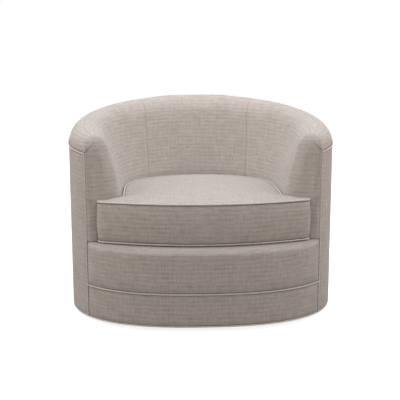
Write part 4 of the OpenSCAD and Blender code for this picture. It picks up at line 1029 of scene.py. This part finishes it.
def strapping(name, light, dark):
    """Jute webbing: coarse plain weave round and up the barrel, over rough fibre."""
    material, tree, _ = plain(name, 0.9)
    vector = coordinates(tree)
    x, y, z = separated(tree, vector)
    round_way = maths(tree, "MULTIPLY", maths(tree, "ARCTAN2", y, x), STRAP_RADIUS)
    relief = maths(tree, "MULTIPLY", waves(tree, round_way, STRAP_THREAD), waves(tree, z, STRAP_THREAD))
    fibre = stretched_noise(tree, vector, (500.0,) * 3, roughness=0.6)
    tone = maths(tree, "ADD", maths(tree, "MULTIPLY", relief, 0.3), fibre)
    return painted(material, mixed(tree, fitted(tree, tone, 0.2, 0.8), dark, light), tone, 0.6, 0.0008)


def tint(red, green, blue):
    """A colour as Blender mixes it, from display values of 0 to 255."""
    return tuple(c / 12.92 if c <= 0.04045 else ((c + 0.055) / 1.055) ** 2.4
                 for c in (red / 255, green / 255, blue / 255))


def metal(cells, roughness, bump=0.15, depth=0.0003):
    return {"cells": cells, "roughness": roughness, "bump": bump, "depth": depth, "metallic": 1.0}


# Each finish: its maker, its light and dark hues and its settings. A hue is display values, or the name
# of one of the chair's colours
FINISHES = {
    "linen": (linen, "linen_light", "linen_dark", {}),
    # The welt's linen is paler than the cloth's: a painted highlight for the light that the proud cord
    # catches
    "welt_linen": (linen, (221, 216, 212), (193, 187, 183), {"thread": 0.0018, "bias": True}),
    "deck_cloth": (linen, (178, 168, 156), (150, 140, 128), {"thread": 0.0016, "of_cloth": False}),
    "cambric": (linen, (30, 30, 32), (14, 14, 15), {"thread": 0.0012, "of_cloth": False}),
    "foam": (speckled, (238, 226, 190), (214, 196, 150), {"cells": 900.0, "roughness": 0.95, "bump": 0.6}),
    "felt": (speckled, (176, 170, 158), (112, 106, 98),
             {"cells": 420.0, "roughness": 0.98, "bump": 0.9, "depth": 0.0015}),
    "webbing": (strapping, (196, 172, 130), (140, 112, 76), {}),
    "plywood": (grained, (222, 190, 142), (178, 136, 88), {"roughness": 0.6, "layers": 0.0036}),
    "rib_plywood": (grained, (220, 188, 140), (176, 134, 86), {"axis": 2, "roughness": 0.6}),
    "hardwood": (grained, (206, 164, 116), (150, 104, 62), {"axis": 2}),
    "fibreboard": (speckled, (150, 112, 76), (112, 78, 50), {"cells": 260.0, "roughness": 0.7, "bump": 0.3}),
    "plinth": (grained, "plinth", (18, 16, 15), {"roughness": 0.45, "bump": 0.15}),
    "glide": (speckled, (58, 58, 60), (40, 40, 42), {"cells": 300.0, "roughness": 0.5, "bump": 0.2}),
    "nylon": (speckled, (226, 222, 208), (206, 200, 184), {"cells": 240.0, "roughness": 0.4, "bump": 0.15}),
    "plated_steel": (speckled, (196, 196, 194), (160, 160, 160), metal(180.0, 0.32)),
    "screw_steel": (speckled, (206, 204, 196), (150, 148, 140), metal(500.0, 0.3, depth=0.0002)),
    "ball_steel": (speckled, (222, 222, 224), (200, 200, 204), metal(200.0, 0.12, 0.05, 0.0001)),
    "spring_steel": (speckled, (92, 94, 98), (58, 60, 64), metal(400.0, 0.38, 0.2)),
    "brass": (speckled, (214, 182, 110), (170, 136, 72), metal(260.0, 0.3)),
    "zip": (speckled, (158, 146, 130), (120, 108, 94),
            {"cells": 300.0, "roughness": 0.45, "bump": 0.2, "depth": 0.0003}),
}
FRAME_FINISHES = {
    "glide": ["floor_glides"], "plinth": ["plinth_board"], "nylon": ["ball_retainer"],
    "plated_steel": ["swivel_lower_plate", "swivel_upper_plate", "swivel_rivet", "spring_clips"],
    "screw_steel": ["lower_plate_screws", "upper_plate_bolts", "board_screws"],
    "ball_steel": ["bearing_balls"], "spring_steel": ["seat_springs", "spring_ties"], "brass": ["tee_nuts"],
    "plywood": ["swivel_board", "base_panel", "seat_ring", "top_rail"], "rib_plywood": ["wall_ribs"],
    "hardwood": ["front_studs", "front_posts", "corner_blocks"], "fibreboard": ["front_liner", "outer_liner"],
}


def colour_of(value):
    """A colour from its name among the chair's colours, or from its display values."""
    if isinstance(value, str):
        return tuple(getattr(bpy.context.scene.barrel_chair_colours, value))
    return tint(*value)


def finish(name):
    """The named finish, made the first time that a piece needs it."""
    maker, light, dark, settings = FINISHES[name]
    return bpy.data.materials.get(name) or maker(name, colour_of(light), colour_of(dark), **settings)


# SOFT PIECES OF THE FRAME, and small parts
EASE, FACE_WAVE_SIZE, SHARP = 0.12, 0.08, math.radians(50)
# Foam and felt: piece, node, finish, slot and how full it is
PADDING = (("tub_foam", "inside_foam", "foam", "foam", 0.9),
           ("border_foam", "front_foam", "foam", "foam", 0.9),
           ("deck_foam", "deck_pad", "foam", "foam", 0.8),
           ("spring_felt", "spring_insulator", "felt", "insulator_felt", 0.5))
# Hidden cloths: piece, node, finish, slot, thickness and what they rest on
HIDDEN_CLOTHS = (("deck_cloth", "deck_cover", "deck_cloth", "deck_cloth", 0.0025, ["deck_foam"]),
                 ("tub_webbing", "webbing", "webbing", "webbing", 0.0015, ["wall_ribs"]),
                 ("under_cloth", "dust_cover", "cambric", "black_cambric", 0.001, ["base_panel"]))
# Half lengths, widths and heights of a zip tooth and a staple, and how far every other tooth stands aside
TOOTH, TOOTH_ASIDE = (0.0007, 0.0012, 0.0021), (0.0, 0.0, 0.0009)
STAPLE, STAPLE_INSET, STAPLE_SINK = (0.0055, 0.0006, 0.0003), 0.012, 0.0002
STAPLE_LINE_POINTS = 300


def softened(name, node_name, rounds=2, seed=1.0, wave=0.0006):
    """A welded copy of a frame node, its corners eased and its faces a little uneven."""
    def ease(bm):
        bmesh.ops.remove_doubles(bm, verts=bm.verts, dist=WELD)
        for _ in range(rounds):
            bmesh.ops.smooth_vert(bm, verts=bm.verts, factor=EASE,
                                  use_axis_x=True, use_axis_y=True, use_axis_z=True)
        bm.normal_update()
        for v in bm.verts:
            share = 0.6 + 0.4 * noise.noise(v.co / FACE_WAVE_SIZE + Vector((seed, 0, 0)))
            v.co -= v.normal * wave * share

    mesh = reshaped(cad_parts[node_name].data.copy(), ease)
    mesh.name = name
    mesh.shade_smooth()
    mesh.set_sharp_from_angle(angle=SHARP)
    return placed(name, mesh)


def flat_area(piece, thickness):
    """The flat area of a thin cloth, from its volume."""
    bm = bmesh.new()
    bm.from_mesh(piece.data)
    volume = bm.calc_volume()
    bm.free()
    return volume / thickness


def bar(name, half):
    """A small bar from its half length, width and height."""
    x, y, z = half
    points = [(a, b, c) for a in (-x, x) for b, c in ((-y, -z), (y, -z), (y, z), (-y, z))]
    sides = [(j, (j + 1) % 4, 4 + (j + 1) % 4, 4 + j) for j in range(4)]
    return make(name, points, sides + [(3, 2, 1, 0), (4, 5, 6, 7)])


# SIZES AND COLOURS
def length_property(name, description, default, low, high):
    return FloatProperty(name=name, description=description, default=default, min=low, max=high,
                         subtype="DISTANCE", unit="LENGTH")


def angle_property(name, description, degrees):
    return FloatProperty(name=name, description=description, default=math.radians(degrees), subtype="ANGLE")


def colour_property(name, description, default):
    return FloatVectorProperty(name=name, description=description, default=default, size=3, min=0, max=1,
                               subtype="COLOR")


class BarrelChairSizes(PropertyGroup):
    """Sizes of the pieces that the scene makes."""
    welt_radius: length_property("Welt radius", "Half the thickness of the covered cord",
                                 WELT_R, 0.001, 0.006)
    welt_step: length_property("Welt step", "Spacing of the rings along the covered cord",
                               0.004, 0.002, 0.02)
    cushion_swell: length_property("Cushion swell", "Farthest that the filling pushes the cushion's cloth",
                                   0.010, 0.0, 0.03)
    zip_pitch: length_property("Zip pitch", "Spacing of the teeth of the cushion's zip",
                               0.0026, 0.0015, 0.01)
    staple_pitch: length_property("Staple pitch", "Spacing of the staples round the dust cover",
                                  0.032, 0.01, 0.1)
    view_turn: angle_property("View turn", "How far the camera stands round to the chair's left", 2.865)
    view_tilt: angle_property("View tilt", "How far the camera looks down", 12.03)


class BarrelChairColours(PropertyGroup):
    """Colours of the chair's finishes, in scene linear values."""
    linen_light: colour_property("Linen, light", "Paler threads of the linen", tint(195, 190, 186))
    linen_dark: colour_property("Linen, dark", "Darker threads of the linen", tint(158, 150, 143))
    plinth: colour_property("Plinth", "Paint of the plinth board", tint(34, 31, 29))
    floor: colour_property("Floor", "The studio's floor", (0.60, 0.60, 0.60))


# THE OPERATORS, one for each group of pieces
class DRESS_OT_tub_covers(Operator):
    """Sews the covers of the inside back and of both arms"""
    bl_idname = "barrel_chair.tub_covers"
    bl_label = "Inside back and arm covers"

    def execute(self, context):
        back, right = back_cover(), arm_cover()
        left = mirrored(right, "left_arm")
        for piece, node_name in ((back, "inside_back_cover"), (right, "right_arm_cover"),
                                 (left, "left_arm_cover")):
            dress(piece, "linen", "chair", [node_name])
        return {"FINISHED"}


class DRESS_OT_outside_cover(Operator):
    """Stretches the outside cover round the barrel"""
    bl_idname = "barrel_chair.outside_cover"
    bl_label = "Outside cover"

    def execute(self, context):
        piece, length, height = outside_panel()
        piece.name = "outside_cloth"
        dress(piece, "linen", "chair", ["outside_cover"])
        flat_area(piece, CLOTH)
        return {"FINISHED"}


class DRESS_OT_front_covers(Operator):
    """Sews the padded front border and the band under it"""
    bl_idname = "barrel_chair.front_covers"
    bl_label = "Front border and band"

    def execute(self, context):
        border, band = border_panel(), band_panel()
        border.name, band.name = "border_cloth", "band_cloth"
        dress(border, "linen", "chair", ["front_border"])
        dress(band, "linen", "chair", ["base_band"])
        height = band.dimensions.z
        flat_area(band, CLOTH) / height
        return {"FINISHED"}


class DRESS_OT_welts(Operator):
    """Runs a covered cord along each seam of the tub"""
    bl_idname = "barrel_chair.welts"
    bl_label = "Tub welts"

    def execute(self, context):
        tree = cord_tree()
        for name, (path, closed) in welt_lines().items():
            nodes = ["arm_front_welts"] if "front" in name else [name]
            sew_welt(name, path, closed, "chair", nodes, tree)
        return {"FINISHED"}


class DRESS_OT_cushion(Operator):
    """Fills and sews the loose seat cushion with its welts and its zip"""
    bl_idname = "barrel_chair.cushion"
    bl_label = "Loose seat cushion"

    def execute(self, context):
        sizes = context.scene.barrel_chair_sizes
        pieces, lines, zip_line = cushion_skins(sizes)
        for name, piece in pieces.items():
            piece.name = name + "_cloth"
            dress(piece, "linen", "cushion", [name])
        tree = cord_tree()
        for name, path in lines.items():
            sew_welt(name, path, True, "cushion", [name], tree)
        set_row("zip_teeth", zip_line, False, bar("zip_tooth", TOOTH), "zip", "cushion",
                Pitch=sizes.zip_pitch, Aside=TOOTH_ASIDE)
        core = softened("cushion_filling", "cushion_core", rounds=3, seed=6.0)
        dress(core, "foam", "cushion", ["cushion_core"])
        return {"FINISHED"}


class DRESS_OT_padding(Operator):
    """Makes the foam, felt, deck cloth, webbing and dust cover from the frame's own forms"""
    bl_idname = "barrel_chair.padding"
    bl_label = "Padding and hidden cloths"

    def execute(self, context):
        for name, node_name, hue, slot, fill in PADDING:
            piece = softened(name, node_name, seed=len(name))
            dress(piece, hue, "chair", [node_name])
        for name, node_name, hue, slot, thickness, rests_on in HIDDEN_CLOTHS:
            piece = softened(name, node_name, rounds=0, seed=len(name), wave=0.0001)
            dress(piece, hue, "chair", [node_name])
            area = flat_area(piece, thickness)
        low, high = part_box("dust_cover")
        ring = inset_plan(np.linspace(0, 360, STAPLE_LINE_POINTS, endpoint=False),
                          HALF_WIDTH - high[0] + STAPLE_INSET)
        set_row("dust_cover_staples", lifted(ring, low[2] - STAPLE_SINK), True, bar("staple", STAPLE),
                "screw_steel", "chair", Pitch=context.scene.barrel_chair_sizes.staple_pitch)
        return {"FINISHED"}


class DRESS_OT_frame(Operator):
    """Gives the frame's timber, board, steel and plastic parts their finishes"""
    bl_idname = "barrel_chair.frame"
    bl_label = "Frame finishes"

    def execute(self, context):
        for name, nodes in FRAME_FINISHES.items():
            for node_name in nodes:
                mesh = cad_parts[node_name].data
                mesh.materials.clear()
                mesh.materials.append(finish(name))
        return {"FINISHED"}


# THE STUDIO: where each lamp hangs, its power in watts and its hue
WHITE, WARM = (0.97, 0.98, 1.0), (1.0, 0.885, 0.80)
LAMPS = {
    "overhead": ((0.0, 0.6, 2.7), 26.0, WHITE), "overhead_front": ((0.0, -0.9, 2.7), 7.0, WHITE),
    "front_high": ((0.0, -2.6, 2.4), 9.0, WHITE), "front": ((0.0, -3.4, 1.0), 22.0, WARM),
    "rear": ((0.0, 3.4, 1.0), 22.0, WARM),
    "left_high": ((-1.8, 0.0, 2.5), 23.0, WHITE), "right_high": ((1.8, 0.0, 2.5), 24.0, WHITE),
    "left_side": ((-2.5, -0.3, 1.5), 21.0, WARM), "right_side": ((2.5, -0.3, 1.5), 18.0, WARM),
}
LAMP_SIZE, LAMP_AIM, FLOOR_REACH = 1.6, Vector((0, 0, 0.35)), 9
CAMERA_AT, CAMERA_ROLL, LENS, SENSOR = (-0.160, -3.2385, 1.034), 0.001, 84.4, 36.0
# What the floor gives back to the chair, how it glows where it is seen, and the surround's light on the chair
BOUNCE, FLOOR_GLOW, SOFT_HUE, SOFT_LIGHT = (0.45, 0.5), 0.85, (1.0, 0.94, 0.88), 0.16


def seen_directly(tree):
    """1 where the camera, a mirror or glass looks, else 0."""
    path = node(tree, "ShaderNodeLightPath").outputs
    seen = maths(tree, "MAXIMUM", path["Is Camera Ray"], path["Is Glossy Ray"])
    return maths(tree, "MAXIMUM", seen, path["Is Transmission Ray"])


def floor_finish():
    """A matt white floor that keeps the chair's shadow, and clips to white where it is open."""
    material, tree, shader = plain("floor", 0.9, **{"Emission Color": (1, 1, 1, 1)})
    tone = stretched_noise(tree, coordinates(tree), (3.0, 3.0, 3.0))
    hue = colour_of("floor")
    seen = seen_directly(tree)
    bounced = mixed(tree, tone, *[tuple(share * c for c in hue) for share in BOUNCE])
    tree.links.new(mixed(tree, seen, bounced, hue), shader.inputs["Base Color"])
    tree.links.new(maths(tree, "MULTIPLY", seen, FLOOR_GLOW), shader.inputs["Emission Strength"])
    return material


def surround():
    """White where it is seen, and a plain soft light where it only lights."""
    world = bpy.data.worlds.new("surround")
    world.use_nodes = True
    tree = world.node_tree
    background = tree.nodes["Background"]
    seen = seen_directly(tree)
    tree.links.new(mixed(tree, seen, SOFT_HUE, (1.0, 1.0, 1.0)), background.inputs["Color"])
    tree.links.new(fitted(tree, seen, 0.0, 1.0, SOFT_LIGHT), background.inputs["Strength"])
    return world


class DRESS_OT_studio(Operator):
    """Sets the floor, the soft lights, the white surround and the camera"""
    bl_idname = "barrel_chair.studio"
    bl_label = "Studio"

    def execute(self, context):
        scene, far = context.scene, FLOOR_REACH
        sizes = scene.barrel_chair_sizes
        floor = make("studio_floor", [(-far, -far, 0), (far, -far, 0), (far, far, 0), (-far, far, 0)],
                     [(0, 1, 2, 3)])
        floor.data.materials.append(floor_finish())
        for name, (place, watts, hue) in LAMPS.items():
            lamp = bpy.data.lights.new(name, "AREA")
            lamp.shape, lamp.size, lamp.energy, lamp.color = "DISK", LAMP_SIZE, watts, hue
            holder = placed(name, lamp)
            holder.location = place
            holder.rotation_euler = (LAMP_AIM - Vector(place)).to_track_quat("-Z", "Y").to_euler()
        scene.world = surround()
        lens = bpy.data.cameras.new("camera")
        lens.lens, lens.sensor_width, lens.sensor_fit = LENS, SENSOR, "HORIZONTAL"
        camera = placed("camera", lens)
        camera.location = CAMERA_AT
        camera.rotation_euler = (math.pi / 2 - sizes.view_tilt, CAMERA_ROLL, -sizes.view_turn)
        scene.camera = camera
        scene.view_settings.view_transform = "Standard"
        return {"FINISHED"}


CLASSES = (BarrelChairSizes, BarrelChairColours, DRESS_OT_tub_covers, DRESS_OT_outside_cover,
           DRESS_OT_front_covers, DRESS_OT_welts, DRESS_OT_cushion, DRESS_OT_padding, DRESS_OT_frame,
           DRESS_OT_studio)


class BARREL_CHAIR_PT_sidebar(Panel):
    """The chair's sizes, colours and pieces"""
    bl_idname = "BARREL_CHAIR_PT_sidebar"
    bl_label = "Swivel Barrel Chair"
    bl_space_type = "VIEW_3D"
    bl_region_type = "UI"
    bl_category = "Barrel Chair"

    def draw(self, context):
        for group in (context.scene.barrel_chair_sizes, context.scene.barrel_chair_colours):
            box = self.layout.box()
            for name in type(group).__annotations__:
                box.prop(group, name)
        column = self.layout.column(align=True)
        for operator in CLASSES[2:]:
            column.operator(operator.bl_idname)


def register():
    for item in (*CLASSES, BARREL_CHAIR_PT_sidebar):
        bpy.utils.register_class(item)
    bpy.types.Scene.barrel_chair_sizes = PointerProperty(type=BarrelChairSizes)
    bpy.types.Scene.barrel_chair_colours = PointerProperty(type=BarrelChairColours)


def unregister():
    del bpy.types.Scene.barrel_chair_colours
    del bpy.types.Scene.barrel_chair_sizes
    for item in reversed((*CLASSES, BARREL_CHAIR_PT_sidebar)):
        bpy.utils.unregister_class(item)


def main():
    register()
    for operator in CLASSES[2:]:
        group, name = operator.bl_idname.split(".")
        getattr(getattr(bpy.ops, group), name)()


if __name__ == "__main__":
    main()
